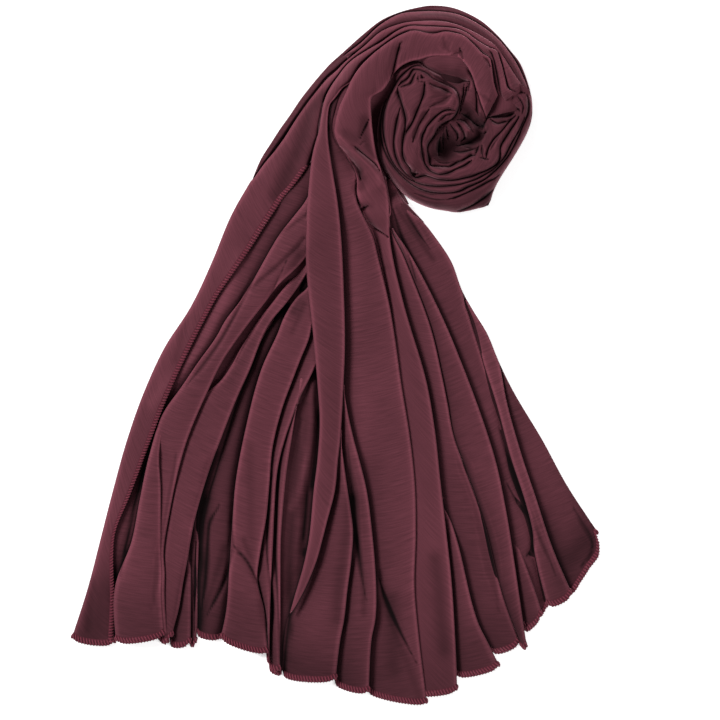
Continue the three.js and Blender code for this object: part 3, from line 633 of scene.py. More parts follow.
def jersey(name, base, rim):
    """Knitted cloth whose colour carries the painted shade and highlight of its second UV map, with a sheen
    in the colour rim.
    """
    material = bpy.data.materials.new(name)
    material.use_nodes = True
    nodes, links = material.node_tree.nodes, material.node_tree.links
    shader = nodes["Principled BSDF"]
    uv = nodes.new("ShaderNodeUVMap")
    uv.uv_map = "cloth"

    def noise(scale_x, scale_y, detail):
        mapping = nodes.new("ShaderNodeMapping")
        mapping.inputs["Scale"].default_value = (scale_x, scale_y, 1)
        links.new(uv.outputs["UV"], mapping.inputs["Vector"])
        texture = nodes.new("ShaderNodeTexNoise")
        set_inputs(texture, {"Scale": 1.0, "Detail": detail})
        links.new(mapping.outputs["Vector"], texture.inputs["Vector"])
        return texture.outputs["Fac"]

    def math_node(operation, *values):
        node = nodes.new("ShaderNodeMath")
        node.operation = operation
        for socket, value in zip(node.inputs, values):
            if isinstance(value, float):
                socket.default_value = value
            else:
                links.new(value, socket)
        return node.outputs[0]

    def mixed(first, *others):
        total = math_node("MULTIPLY", *first)
        for other in others:
            total = math_node("ADD", total, math_node("MULTIPLY", *other))
        return total

    # The second UV map holds painted shade and highlight
    tone = nodes.new("ShaderNodeUVMap")
    tone.uv_map = "tone"
    parts = nodes.new("ShaderNodeSeparateXYZ")
    links.new(tone.outputs["UV"], parts.inputs[0])
    slub = noise(55, 900, 3.0)                   # streaks along the courses
    broad = noise(14, 10, 2.0)
    grain = noise(1500, 1500, 1.0)
    ramp = nodes.new("ShaderNodeValToRGB")
    for element, position, strength in zip(ramp.color_ramp.elements, (0.3, 0.72), (0.6, 1.42)):
        element.position = position
        element.color = [c * strength for c in base] + [1]
    links.new(mixed((slub, 0.5), (broad, 0.3), (grain, 0.2)), ramp.inputs["Fac"])
    # The colour scaled by the painted shade and highlight, doubled back from its halved store
    shaded = nodes.new("ShaderNodeVectorMath")
    shaded.operation = "SCALE"
    links.new(ramp.outputs["Color"], shaded.inputs[0])
    links.new(math_node("MULTIPLY", parts.outputs["X"], 2.0), shaded.inputs["Scale"])
    links.new(shaded.outputs[0], shader.inputs["Base Color"])
    set_inputs(shader, {"Roughness": 0.9, "Specular IOR Level": 0.1, "Sheen Weight": 0.6,
                        "Sheen Roughness": 0.35, "Sheen Tint": (*rim, 1)})
    bump = nodes.new("ShaderNodeBump")
    set_inputs(bump, {"Strength": 0.35, "Distance": 0.0004})
    links.new(mixed((slub, 0.7), (grain, 0.3)), bump.inputs["Height"])
    links.new(bump.outputs["Normal"], shader.inputs["Normal"])
    return material


CLOTH_MAT = jersey("plum_jersey", (0.0742, 0.0197, 0.0277), (0.9, 0.42, 0.5))
THREAD_MAT = jersey("overlock_thread", (0.112, 0.0222, 0.035), (0.95, 0.5, 0.56))

fan_left, fan_right, middle, rosette, bed, stitching = (Sheet() for _ in range(6))

# Where the fan sinks (+) or swells (-) between its folds, with painted shade in the sinks and painted
# highlight on the swells: name, mm, half width, points.
HOLLOWS = [
    ("left corner", 2.0, 16, [(84, 650), (96, 620), (104, 590)]),
    ("left pleat valley", 2.4, 7, [(205, 500), (199, 540), (197, 580), (198, 640)]),
    ("strip end", 2.4, 8, [(352, 500), (348, 540), (342, 580), (340, 620)]),
    ("wide panel low", 2.2, 9, [(392, 600), (393, 630), (394, 670)]),
    ("right pleat low", 2.4, 8, [(436, 560), (441, 590), (443, 620), (446, 650)]),
    ("hem right", 0.5, 14, [(462, 655), (488, 645), (512, 632)]),
    ("right corner", 2.2, 12, [(588, 540), (575, 556)]),
    ("sheer", 1.6, 12, [(543, 520), (556, 555), (562, 580)]),
    ("hem middle", 1.4, 14, [(300, 668), (330, 675), (355, 682)]),
    ("triangle", 3.0, 8, [(302, 255), (298, 285), (294, 310)]),
    ("triangle low", 1.6, 8, [(270, 320), (250, 350), (230, 380)]),
    ("strip right", -1.3, 12, [(350, 190), (352, 250), (356, 350), (362, 450)]),
    ("left panel", -1.8, 8, [(240, 255), (224, 300), (200, 350), (178, 378), (155, 404)]),
]
hollows = [valley(points, -mm, wide) for _, mm, wide, points in HOLLOWS]

# Neck and rosette: each row is outer edge x, y, inner edge x, y, from the neck to the right side.
FLAP_ON = [
    (254, 178, 294, 184), (264, 164, 303, 172), (274, 152, 311, 161), (284, 138.5, 318, 148),
    (295, 121, 323, 133), (306, 105, 326, 117), (316, 92, 329, 104), (327, 79, 334, 92), (336, 71, 341, 82),
    (345, 62, 350, 72), (354, 54.5, 359, 64), (365, 45.5, 369, 55), (381, 31.5, 385, 44),
    (401, 23.5, 402, 35), (420, 21, 420, 32), (440, 21, 440, 33), (455, 24, 455, 34), (469, 29.5, 465, 38),
    (484, 37.5, 476, 46), (496, 46, 489, 53), (503, 56, 495, 60), (510, 67, 498, 71), (516, 76.5, 500, 82),
    (522, 85, 505, 91), (526.5, 92, 512, 98),
]
STRIP_ON = [
    (317, 138, 328, 138), (319, 130, 327.5, 128), (321, 117, 328, 115), (323, 106, 330, 104.5),
    (326, 96, 336, 97), (331, 86.5, 343, 88), (338, 76.5, 352, 82), (346, 66, 359, 74), (355, 58, 368, 64),
    (370, 48.5, 383, 53), (382, 41.5, 396, 45), (397, 31, 408, 39), (410, 26, 414, 36),
    (425, 26.5, 425, 37), (440, 27, 440, 37), (455, 28.5, 454, 37), (466, 32.5, 463, 41),
    (478, 41, 472, 48), (489, 47.5, 480, 55), (496.5, 50.5, 486, 61), (499.5, 58, 489, 67),
    (502.5, 68, 490, 76), (505.2, 79, 492, 86), (508, 88.5, 497, 96), (516, 92, 503, 103),
]
WIDE_ON = [
    (331.5, 166, 355, 166), (330, 154, 350, 157.5), (329, 142, 344, 148), (328, 130, 339, 138),
    (328, 118, 338, 126), (329.5, 108, 341, 112), (334, 101, 346, 99), (340, 93, 352, 88),
    (346, 84, 356, 80),
]
FACET_ON = [
    (360, 206, 389, 203), (357, 193, 387, 191), (357, 181, 384, 179), (354.5, 170, 380.5, 168),
    (349, 160.5, 377.5, 159), (343, 151, 375.5, 150), (337.5, 142, 374, 141), (334.5, 133, 373, 133),
    (335, 124, 372, 125), (337, 115, 371.5, 116.5), (340, 105.5, 371, 107), (345, 94.5, 372, 97),
    (352, 79, 383, 90), (360, 67, 390, 80), (370, 56.7, 395, 72), (383, 46, 403, 65), (395, 38, 412, 61),
    (405, 33, 420, 59.5), (414, 30.5, 428, 57), (425, 32.5, 435, 56), (434, 33.5, 442, 56),
    (445, 31.5, 450, 56), (455, 33, 457, 57), (464, 36, 463, 61), (474, 44.5, 469, 69), (482, 53, 473, 78),
    (489.5, 58, 476, 88), (491.5, 65, 478.5, 95), (492.8, 75, 481, 103), (494.5, 85, 484, 111),
    (498, 95, 486, 117),
]
OUTER_BAND = [
    (251, 183, 252, 182), (256, 170, 259, 173), (262, 157, 267, 162), (271, 143, 276, 149),
    (280, 129, 286, 136), (290, 115, 297, 119), (300, 100, 308, 103), (310, 87, 318, 91),
    (320, 75, 328, 78), (330, 64, 337, 71), (340, 55, 347, 62), (350, 46, 356, 54), (360, 37, 367, 45.5),
    (380, 21, 383, 33), (400, 12, 402, 25.5), (420, 7, 420, 23), (433, 5.5, 434, 22.5), (450, 7, 448, 24),
    (465, 12, 463, 29), (480, 20, 475, 35), (490, 28, 484, 40), (500, 38, 493, 46), (510, 50, 501, 56),
    (520, 63, 508, 68), (527, 80, 515, 80), (531, 95, 521, 92), (532.5, 110, 525, 106),
]
SECOND_BAND = [
    (345, 55, 350, 61.5), (353, 49, 358, 54), (363, 41, 369, 46.5), (380, 25, 384, 33.5),
    (400, 14, 402, 25.5), (420, 11.5, 420, 23), (440, 11.5, 440, 23), (458, 14.5, 454, 26),
    (473, 21, 467, 31.5), (488, 30.5, 482, 39.5), (500, 41, 494, 49), (508.5, 51.5, 501, 58),
    (517, 64.5, 507, 70), (523.5, 78, 514, 81), (528, 90, 520, 91), (529, 104, 524, 103),
    (528.5, 116, 524, 115), (524, 130, 519, 128), (517, 145, 511, 142), (507, 160, 500, 156),
]
FAR_SIDE = [
    (391.7, 224, 424, 222), (391, 214, 411, 208), (390, 202, 401.5, 197), (388, 190, 398, 189),
    (385, 178, 396, 181),
]

# Folds drawn into the ribbons: name, depth in mm, width in units, points.
STRIP_FOLDS = [
    ("between", 3.6, 1.2, [(489.5, 50.5), (491.5, 53.5), (494, 60), (496.5, 72), (499, 84), (501, 95),
     (504, 101)]),
]
WIDE_FOLDS = [
    ("along facet", 6.0, 2.4, [(349, 82), (343.5, 94), (339, 105), (335.8, 116), (334.6, 126), (336.5, 138),
     (342, 148), (350, 159), (356, 168), (358.5, 178)]),
    ("along strip", 4.0, 1.3, [(345, 82), (339, 91), (332.5, 101), (329.5, 109), (328.5, 118),
     (328.8, 130)]),
    ("slit", 4.0, 1.1, [(355.4, 180), (355, 187), (355.2, 195)]),
]
FACET_FOLDS = [
    ("crease", 5.0, 1.9, [(400, 43.5), (398.5, 49), (396.5, 56), (394.3, 65), (392.3, 73), (389.5, 81)]),
    ("crease top", 2.0, 2.2, [(402, 42), (399, 46)]),
    ("tuck tail", 3.4, 1.1, [(452, 55.5), (456, 53.8), (459.5, 52.5)]),
    ("tuck", 4.2, 1.3, [(459.8, 48.3), (460.5, 52), (463, 58.5)]),
    ("tuck shade", 1.4, 3.5, [(444, 38), (446, 46), (450, 52)]),
    ("wedge", 4.0, 2.0, [(484, 57), (488, 61), (490, 66)]),
    ("inner shade", 1.6, 3.0, [(478, 92), (484, 98), (490, 101)]),
    ("curl upper line", 4.6, 1.2, [(353.5, 145.5), (358, 149.5), (364, 154.5), (370, 159.5), (376, 165),
     (380, 171)]),
    ("curl valley", 4.6, 3.0, [(341, 148), (347, 155.5), (353.5, 163.5), (359, 171), (360.5, 179)]),
    ("notch", 3.4, 1.5, [(358.5, 203), (360.5, 208.3), (364, 208), (368, 206)]),
    ("crease low", 4.0, 1.2, [(364, 218.5), (368, 223), (374, 227.5), (381, 232), (388, 237)]),
    ("facet end line", 2.6, 1.1, [(369, 119), (366, 125), (362.5, 132), (360, 139)]),
    ("small folds", 1.2, 1.0, [(360, 145), (363, 142), (366, 141.5)]),
]

# Outline of the coil, from the tuck at the right round by the bottom and the left.
COIL_SIDE = [
    (531.5, 96), (532.5, 108), (531.5, 120), (527.5, 132), (522, 143), (515, 155), (508, 166), (501, 177),
    (496.5, 185), (493, 193), (490, 202), (485.5, 206.5), (478, 208.5), (468, 211), (457, 212.5),
    (446, 211), (434, 209), (424, 206), (415, 202), (407, 197), (399, 189.5), (391, 180), (384.5, 170),
    (380, 158), (377.5, 147), (377, 134), (378.5, 120), (381.5, 106), (385.5, 93), (390, 82), (394, 72),
]
# The rest of its outline, hidden under the facet and the bands.
COIL_HIDDEN = [
    (397, 62), (404, 56), (413, 52), (425, 48), (440, 47), (455, 49), (468, 54), (477, 62), (483, 72),
    (488, 80), (498, 82), (510, 82), (520, 84), (528, 89),
]
COIL_MIDDLE = (446.0, 138.0)
COIL_FALL = 8.0                # units in which the coil rounds down to the floor
# Height in mm of the coil's layers, before its folds are drawn in: place, x, y, height.
COIL_HEIGHTS = [
    ("ring low", 450, 189, 23), ("ring low side", 450, 200, 18), ("flap low", 440, 207, 13),
    ("flap tip", 484, 200, 12), ("ring low left", 402, 183, 20), ("ring left", 384, 140, 18),
    ("ring left in", 391, 140, 23), ("ring left up", 386, 108, 19), ("ring up left", 396, 82, 22),
    ("ring top", 414, 65, 24), ("ring low right", 505, 160, 19), ("ring right", 526, 120, 16),
    ("ring right in", 514, 130, 21), ("ring right low", 493, 172, 20), ("petal left", 411, 100, 30),
    ("petal left low", 409, 118, 29), ("petal top", 416, 76, 27), ("petal mid", 414, 150, 28.5),
    ("petal right", 432, 92, 29), ("petal wedge", 447, 94, 21), ("petal side", 453, 105, 27),
    ("petal low", 412, 165, 27), ("petal valley", 421, 122, 26.5), ("petal back", 434, 108, 28),
    ("band top", 436, 76, 25), ("band right", 456, 95, 26), ("crevice top", 444, 77.5, 17),
    ("crevice corner", 460, 81.5, 14), ("wall", 455, 68, 23), ("wall right", 471, 85, 22),
    ("rim left", 424.5, 145, 27), ("rim up", 433, 124, 27), ("rim tip", 450, 113, 25),
    ("rim low", 441, 170, 25), ("rim right", 462, 162, 23), ("rim end", 472, 158, 22),
    ("hollow", 444, 147, 5), ("hollow low", 446, 157, 7), ("hollow left", 436, 150, 9),
    ("hollow up", 443, 135, 11), ("hollow right", 455, 147, 6), ("low wall", 450, 162, 15),
    ("ruffle one", 452, 132, 15), ("ruffle two", 460, 133, 17), ("ruffle three", 470, 130, 19),
    ("ruffle low", 462, 150, 13), ("valley", 470, 142.5, 7), ("valley end", 481, 137, 10),
    ("pleats", 464, 92, 19), ("pleats low", 463, 106, 17), ("shade", 465, 115, 9),
    ("shade right", 478, 125.5, 8), ("inner right", 472, 100, 21), ("inner right low", 481, 112, 19),
    ("shade top", 488, 104, 13), ("ledge", 494, 127, 21), ("ledge low", 492, 140, 20),
    ("fold right", 483, 147, 18), ("panel low", 480, 165, 23), ("panel low left", 455, 176, 23),
    ("panel right", 496, 152, 22), ("hole low left", 414, 173.5, 18), ("tuck", 506, 112.5, 11),
    ("tuck up", 512, 101, 18), ("tuck band", 506, 94, 15), ("band end", 522, 90, 16),
    ("edge right", 526, 100, 18), ("pinch", 449, 123, 19), ("shade mid", 492, 114, 12),
]
# Folds of the coil: name, depth in mm, width in units, points.
COIL_FOLDS = [
    ("ring one", 4.0, 1.5, [(527, 95), (528.5, 103), (528, 112), (525, 121), (521, 130), (517, 139),
     (512.4, 148), (508, 155.6), (501, 164.4), (493.6, 172), (484.7, 179), (475.8, 183.5), (467, 187),
     (460, 190.6), (450, 192.8), (436, 192.8), (424.7, 190.6), (413.6, 185.6), (403.6, 177.8),
     (394.7, 167.8), (388, 157.8), (383, 145.6), (380.6, 132), (381, 121), (383, 110), (387, 98), (392, 86),
     (396, 79)]),
    ("ring two", 3.8, 1.4, [(524.7, 117), (521.3, 125.6), (515.8, 135.6), (510.2, 145.6), (505.8, 154.4),
     (500.2, 162.2), (493.6, 169), (484.7, 174.4), (475.8, 179), (467, 182.2), (455.8, 185), (440, 186.2),
     (424.7, 185), (411.5, 180.5), (402, 173), (394, 164), (388.5, 153), (385, 141), (383.3, 130),
     (383.6, 116), (387, 103), (392, 91), (399, 79), (407, 71), (413, 66.5), (420, 65.5), (427, 69)]),
    ("ring three", 3.6, 1.4, [(414.7, 181.1), (405.8, 173.3), (399.1, 164.4), (395.2, 153.3),
     (394.1, 142.2), (395.2, 132.2), (397.2, 121), (400.2, 107.8)]),
    ("outer petal", 5.0, 1.6, [(397.6, 88), (398.2, 92.2), (399.6, 96.8), (401.2, 101.4), (403.1, 107.5),
     (404.6, 113), (405.8, 119), (405.4, 123.7), (405, 129.8), (404.1, 135.2), (403.1, 141.4),
     (402.5, 147.5), (402.7, 154.5), (404, 159.1), (405.4, 162.2), (407.7, 165.2), (410, 168.3),
     (411.2, 172.9), (414.2, 176.8), (417.3, 177.5), (421.2, 176.4), (425.8, 175.6), (429.6, 176.8),
     (435, 178.7), (441.2, 179.8), (448.8, 180.4), (456.5, 179.8), (464.2, 177.9), (471.9, 176),
     (479.6, 172.9), (487.3, 169.8), (495, 165.2), (498.8, 160.6), (500, 154.5), (500.4, 147), (504, 140),
     (510, 131), (515, 124), (519, 117)]),
    ("petal top outside", 4.0, 1.5, [(398.5, 86), (401.9, 82.5), (405.8, 80.2), (409.2, 76.8),
     (411.2, 72.9), (413.5, 69.7), (418.1, 69.6), (422.7, 71), (427.3, 73.3), (430.4, 76), (433.5, 78.7),
     (438.1, 81), (444.2, 83.7), (448.8, 85.6), (453.5, 88.3), (456.5, 91.4), (458.3, 95.2), (459.2, 100.6),
     (459, 106), (457.2, 111.4), (455, 115.5), (451.9, 118.8), (448.1, 121)]),
    ("petal top inside", 3.2, 1.4, [(401.2, 86.8), (405, 85.6), (409.6, 84.1), (411.9, 81.4), (414, 76),
     (416.5, 71.5)]),
    ("curl stem", 2.6, 1.1, [(418.1, 75.2), (417.9, 78.3), (418.8, 81.8)]),
    ("curl foot", 2.2, 1.0, [(419.5, 81.6), (424.2, 81.8)]),
    ("curl eye", 4.0, 1.6, [(421.2, 75), (422.5, 77.5), (424.4, 78)]),
    ("petal divide", 4.6, 1.7, [(424.6, 82.5), (424.5, 85.2), (424.2, 89.8), (423.5, 94.5), (421.9, 99),
     (420, 103.7), (417.3, 109.8), (415.4, 114.5), (413.5, 119), (411.5, 123.7), (409.2, 127.5),
     (406.5, 132.2), (404.8, 137)]),
    ("top crevice", 6.0, 2.2, [(396, 72), (403.6, 65), (411.3, 62), (419, 62), (425.8, 67), (431.9, 70.6),
     (438, 73.7), (444.2, 76.3), (450.4, 78.5), (455, 80.4), (460.4, 81.2), (465.8, 81), (469.6, 81.6)]),
    ("band inside", 2.6, 1.3, [(430, 73), (437, 77.5), (444, 81), (450, 84.5), (455, 88), (458, 92),
     (461, 97), (461, 104), (459.5, 110)]),
    ("wedge upper", 3.6, 1.8, [(430, 83.5), (435, 86.2), (441.2, 88.3), (447.3, 91.2), (452, 93.4)]),
    ("wedge lower", 2.2, 2.2, [(452, 94.5), (448.8, 97.2), (445, 100), (440.4, 102.2), (435, 103.9),
     (430, 107)]),
    ("petal valley", 3.2, 2.4, [(429, 109.5), (425.8, 113.7), (422.7, 118.3), (419.6, 123), (417.3, 128.3),
     (415.8, 133), (414.2, 137.5), (413, 142)]),
    ("rim outside", 4.2, 1.5, [(455, 110.5), (449, 109.6), (443, 111), (437, 115), (433.5, 118.3),
     (429.6, 122.9), (426.5, 126.8), (424.2, 131.4), (422.3, 135.2), (421.5, 140), (421.3, 146),
     (421.6, 151), (422.3, 155.5), (423.1, 159.5), (424.6, 163.7), (427.3, 167.5), (430.4, 171),
     (435, 173.3), (439.6, 174.5), (445, 173.7), (450.4, 172.2), (455.8, 169.5), (460.4, 167.5),
     (465, 165.2), (469.6, 162.2), (471.9, 160.2)]),
    ("rim second", 2.8, 1.2, [(453.5, 113.2), (448.8, 114), (445, 115.4), (441, 119), (438.5, 121.5)]),
    ("rim inside", 5.0, 1.6, [(452, 119.5), (446, 121.8), (441, 125), (437, 129.6), (435, 133.7),
     (431.9, 138.3), (428.8, 142.9), (427.3, 146.8), (427.3, 151.4), (428.2, 156), (429.2, 161.4),
     (430.6, 165.2), (433.5, 166.4), (438.8, 166.6), (444.2, 166.9), (449.6, 166.9), (453.5, 165.2),
     (458.1, 162.4), (462.7, 160.8), (467.3, 158.3), (471.9, 155.8), (475, 155.6)]),
    ("inside one", 2.6, 1.1, [(446, 125.5), (441.5, 128.6), (437.5, 133), (434, 138), (431.5, 143)]),
    ("inside two", 3.4, 1.1, [(446.2, 127), (446.6, 131), (447.4, 135.2), (447.8, 139.5)]),
    ("inside three", 3.6, 1.2, [(450, 124.5), (452, 127), (454.6, 130), (457.3, 133.7), (457.8, 137.5),
     (456.3, 140.5)]),
    ("inside four", 3.8, 1.3, [(456.5, 122.5), (458.8, 125), (461.4, 128.5), (463.8, 133), (464.4, 137.5),
     (461.2, 141.4)]),
    ("inside five", 3.4, 1.5, [(440.4, 136.8), (438.8, 142.9), (438, 150.6), (438.8, 156)]),
    ("inside six", 2.4, 1.2, [(443.5, 133), (442.6, 140), (443.3, 149)]),
    ("dark valley", 4.5, 2.4, [(458, 146), (464.2, 144.4), (471.9, 142.2), (478.1, 139.6), (481.9, 136.6),
     (486.5, 132)]),
    ("low ruffle", 2.8, 1.2, [(454.2, 151.4), (459.6, 152.3), (465.8, 151.6), (471.9, 150), (476, 148)]),
    ("low ruffle two", 2.0, 1.0, [(464.2, 147), (468.8, 148.2), (473.5, 148.8)]),
    ("low wall line", 2.2, 1.1, [(434, 158.5), (439, 162.3), (446, 163.4), (454, 161.5)]),
    ("pleat one", 4.0, 1.2, [(464.2, 83), (463.7, 91.4), (461.9, 98.3), (460.6, 103.7), (460.4, 109),
     (459.2, 113.7)]),
    ("pleat two", 3.4, 1.1, [(467.7, 83), (466.2, 91.4), (463.9, 99), (462.4, 104.5)]),
    ("pleat three", 3.0, 1.1, [(470, 81.5), (469, 86), (468.2, 92)]),
    ("wall fold", 3.4, 1.1, [(475.2, 87), (476, 96), (476.5, 104.5), (477.3, 110.6), (478.5, 115.2)]),
    ("wall edge", 4.6, 1.5, [(466, 63), (470.8, 72.5), (473.5, 77.5), (475.2, 82.2), (476.4, 87.5),
     (478.4, 92.2), (481.4, 96.8), (483.8, 100.6), (485.6, 105.2), (486.3, 110.6), (486.6, 116),
     (486.2, 121)]),
    ("shade line", 3.0, 2.2, [(461, 113), (466, 116.5), (471, 120), (476, 125), (482, 126), (485.5, 122)]),
    ("ruffle top", 2.6, 1.6, [(457, 119.5), (461, 120), (465.5, 122), (469.5, 127), (473, 132)]),
    ("ledge top", 3.6, 1.3, [(486.6, 119.5), (489.6, 117), (495, 117.4), (502.7, 116.4), (510, 115.2),
     (514, 112.8)]),
    ("ledge low", 3.4, 1.3, [(490.4, 119.4), (493, 121.4), (495.6, 123), (498.8, 123.6), (504, 122.4),
     (509, 120)]),
    ("ledge side", 2.6, 1.3, [(486, 122), (483.5, 126), (482.3, 130)]),
    ("fold one", 3.6, 1.2, [(515.8, 115.6), (510.2, 121), (503.6, 128.9), (498.1, 134.8), (494.2, 139.2),
     (491.2, 143.7), (488.4, 149), (486.9, 154), (486.3, 158.3)]),
    ("fold two", 2.0, 0.9, [(500, 136.4), (496, 141), (492.6, 146), (490, 151)]),
    ("fold three", 3.0, 1.2, [(479.2, 145), (477.6, 149.8), (475.4, 154.8)]),
    ("fold four", 2.6, 1.7, [(482.2, 145.5), (482, 151.4), (482.9, 157)]),
    ("fold foot", 3.8, 1.5, [(480.8, 157.7), (484.2, 158.8), (488.1, 159.4)]),
    ("rim notch", 2.4, 1.2, [(471.9, 160.2), (470.8, 164)]),
    ("side hole", 4.5, 2.2, [(501, 144), (500.6, 149)]),
    ("low hole", 5.0, 3.0, [(411, 171), (414, 173.5), (418, 173.8)]),
    ("tuck hook", 4.0, 1.8, [(506, 80), (507.4, 86), (510, 89.4), (515, 91.2), (520.2, 92.2), (524.7, 93)]),
    ("tuck middle", 4.4, 1.4, [(500.4, 93), (501.4, 99), (505.8, 103), (513.6, 106.4), (518, 109),
     (519.8, 111)]),
    ("tuck low", 4.0, 1.5, [(493.8, 83), (496.9, 93.3), (499.1, 100), (501.3, 106.7), (503.6, 111.4),
     (508, 113)]),
    ("tuck side", 2.6, 1.1, [(517, 96), (521, 101), (523.4, 107), (522, 114)]),
    ("flap one", 3.2, 1.3, [(500, 174), (494, 178.5), (489.1, 181), (478, 186.9), (467, 192.4),
     (455.8, 197), (449, 199)]),
    ("flap two", 3.4, 1.5, [(495.5, 187), (489.1, 193.3), (481.3, 199.4), (472.4, 205), (464.7, 208.6),
     (457, 211)]),
    ("flap three", 2.0, 1.0, [(414.7, 193.3), (424.7, 196.7), (435.8, 199.4), (449, 199.6)]),
    ("flap four", 2.4, 1.0, [(430, 194.3), (436, 194.6)]),
]

# Lesser folds of the fan: name, depth in mm, width in units, points.
FAN_FOLDS = [
    ("loop valley", 4.6, 2.2, [(216, 451), (211, 466), (205, 489), (201.5, 506), (200, 523), (200.5, 540)]),
    ("loop inside", 3.6, 2.2, [(219, 506), (210, 522), (208, 540), (207, 560), (205, 585), (201, 612)]),
    ("flare left", 3.8, 1.5, [(233.5, 503), (232, 523), (232.5, 540), (231, 556), (228, 570), (223, 584),
     (215, 600), (206, 616)]),
    ("flare right", 3.8, 1.5, [(233.6, 546), (240, 553), (248, 563), (256.4, 580), (261, 600), (265, 622),
     (266.5, 642)]),
    ("narrow one", 3.0, 1.3, [(272, 474), (269, 509), (267, 551), (270, 580), (273, 609), (270.5, 650)]),
    ("narrow two", 3.0, 1.3, [(282, 449), (278.5, 480), (276.5, 523), (275.5, 557), (278, 597),
     (279.5, 637), (279.5, 662)]),
    ("inner line", 3.0, 1.8, [(316, 398), (318, 430), (313.5, 474), (306, 500), (304, 530), (303.5, 556)]),
    ("inner valley", 2.4, 4.0, [(300, 420), (296, 460), (292, 520), (290, 580), (292, 640)]),
    ("panel side", 2.4, 1.6, [(150, 452), (142, 477), (135, 503), (128, 535), (122.5, 563), (118, 590)]),
    ("panel left", 2.4, 3.2, [(176, 455), (170, 500), (160, 560), (152, 610)]),
    ("wide line", 3.6, 1.8, [(379, 578), (384, 595), (392, 614), (403.5, 638), (418, 666)]),
    ("side valley", 2.8, 3.0, [(347.6, 445), (353.5, 498), (359, 556), (366, 600)]),
    ("sheer valley", 2.4, 4.5, [(453, 436), (466, 470), (478, 505), (487, 540), (493, 571), (499, 612)]),
    ("pocket", 3.8, 2.0, [(507, 484), (518, 503), (527, 515), (532.5, 532), (533.5, 545), (530.5, 553),
     (524, 556.5)]),
    ("rim valley", 2.6, 2.6, [(500, 430), (513, 474), (528, 512), (543, 545), (556, 575)]),
    ("corner curl", 3.0, 2.2, [(573, 508), (584, 526), (592, 541), (590, 556), (581, 566)]),
    ("upper left one", 3.0, 1.8, [(262, 262), (243, 300), (222, 338), (202, 366), (186, 386)]),
    ("upper left two", 2.6, 1.6, [(286, 262), (270, 296), (252, 330), (236, 362)]),
    ("neck right one", 3.0, 1.6, [(398, 196), (407, 214), (418, 232), (430, 250)]),
    ("neck right two", 2.4, 1.5, [(393, 210), (400, 232), (409, 256), (416, 280)]),
]


def ribbon(sheet, table, sides, levels, **more):
    """A stretch whose two edges are rows (left x, left y, right x, right y)."""
    left, right = path_edge([(a, b) for a, b, _, _ in table]), path_edge([(c, d) for *_, c, d in table])
    mid = np.array([((a + c) / 2, (b + d) / 2) for a, b, c, d in table])
    spacing = float(np.hypot(*np.diff(mid, axis=0).T).mean())
    strip(sheet, left, right, (0, len(table) - 1), sides, levels, per_t=spacing, **more)


def fold(sheet, left, right, span, sides, levels, creases=(), hem=True, **more):
    """A stretch of the fan, with the fan's hollows and lesser folds."""
    strip(sheet, as_edge(left), as_edge(right), span, sides, levels, creases=[*creases, *hollows],
          soft_folds=FAN_FOLDS, hem=hem, **more)


def coil(sheet, around=400, out=104):
    """The wound middle of the rosette, rounded down to the floor along COIL_SIDE."""
    ring = COIL_SIDE + COIL_HIDDEN + COIL_SIDE[:1]
    bx, by = path_edge(ring)(np.linspace(0, len(ring) - 1, 1600))
    angle = np.unwrap(np.arctan2(by - COIL_MIDDLE[1], bx - COIL_MIDDLE[0]))
    want = np.linspace(angle[0], angle[-1], around + 1)
    order = np.argsort(angle)
    bx, by = np.interp(want, angle[order], bx[order]), np.interp(want, angle[order], by[order])
    share = np.linspace(0.004, 1, out)[:, None] ** 0.85
    x = COIL_MIDDLE[0] + (bx - COIL_MIDDLE[0]) * share
    y = COIL_MIDDLE[1] + (by - COIL_MIDDLE[1]) * share
    ground = surface(COIL_HEIGHTS, 3.0, 0.2)
    z = ground(x, y)
    # Painted shade where the coil lies low, deepest in its hollows
    tone = np.interp(z, [4, 9, 17, 22], [0.3, 0.5, 0.88, 1.05])
    cut, dark, light = drawn(x, y, COIL_FOLDS, ground)
    inside = np.clip(nearest(x, y, COIL_SIDE)[0] / COIL_FALL, 0, 1)
    z = RIM + (np.maximum(z - cut, 1.2) - RIM) * np.sqrt(1 - (1 - inside) ** 2)
    z += 0.5 * ripple(x * UNIT, y * UNIT) * inside
    away = np.hypot(x - COIL_MIDDLE[0], y - COIL_MIDDLE[1])
    uv = np.stack([np.broadcast_to(want * 60, x.shape), away], -1) * UNIT / 1000.0
    # Painted highlight on the folds' lips and painted shade in their roots
    tone = tone * (1 + light * (1 - dark)) - dark
    sheet.shell(row_point(x, y, np.maximum(z, 0.3)), uv, tone)


# Rosette: outer turn, second turn, coil, and the neck's far side
ribbon(rosette, OUTER_BAND, ("side", "under"), ([(0, 2.6), (24, 2.6), (26, -1)], -4.5), across=20,
       crown=0.09, ease=4, folds=[beside(SECOND_BAND, 0.4, 0, 15), beside(FLAP_ON, 0.4, 0, 11)])
ribbon(rosette, SECOND_BAND[:16], ("over", "under"), ([(0, 3.2), (13, 3.2), (15, -1)], -4.0), across=16,
       crown=0.09, ease=4, folds=[beside(FLAP_ON, 0.4, 9)])
coil(rosette)
ribbon(rosette, FAR_SIDE, ("under", "side"), ([(0, -2), (1.3, 1.0)], [(0, -2), (1.3, 2.0)]), across=10)
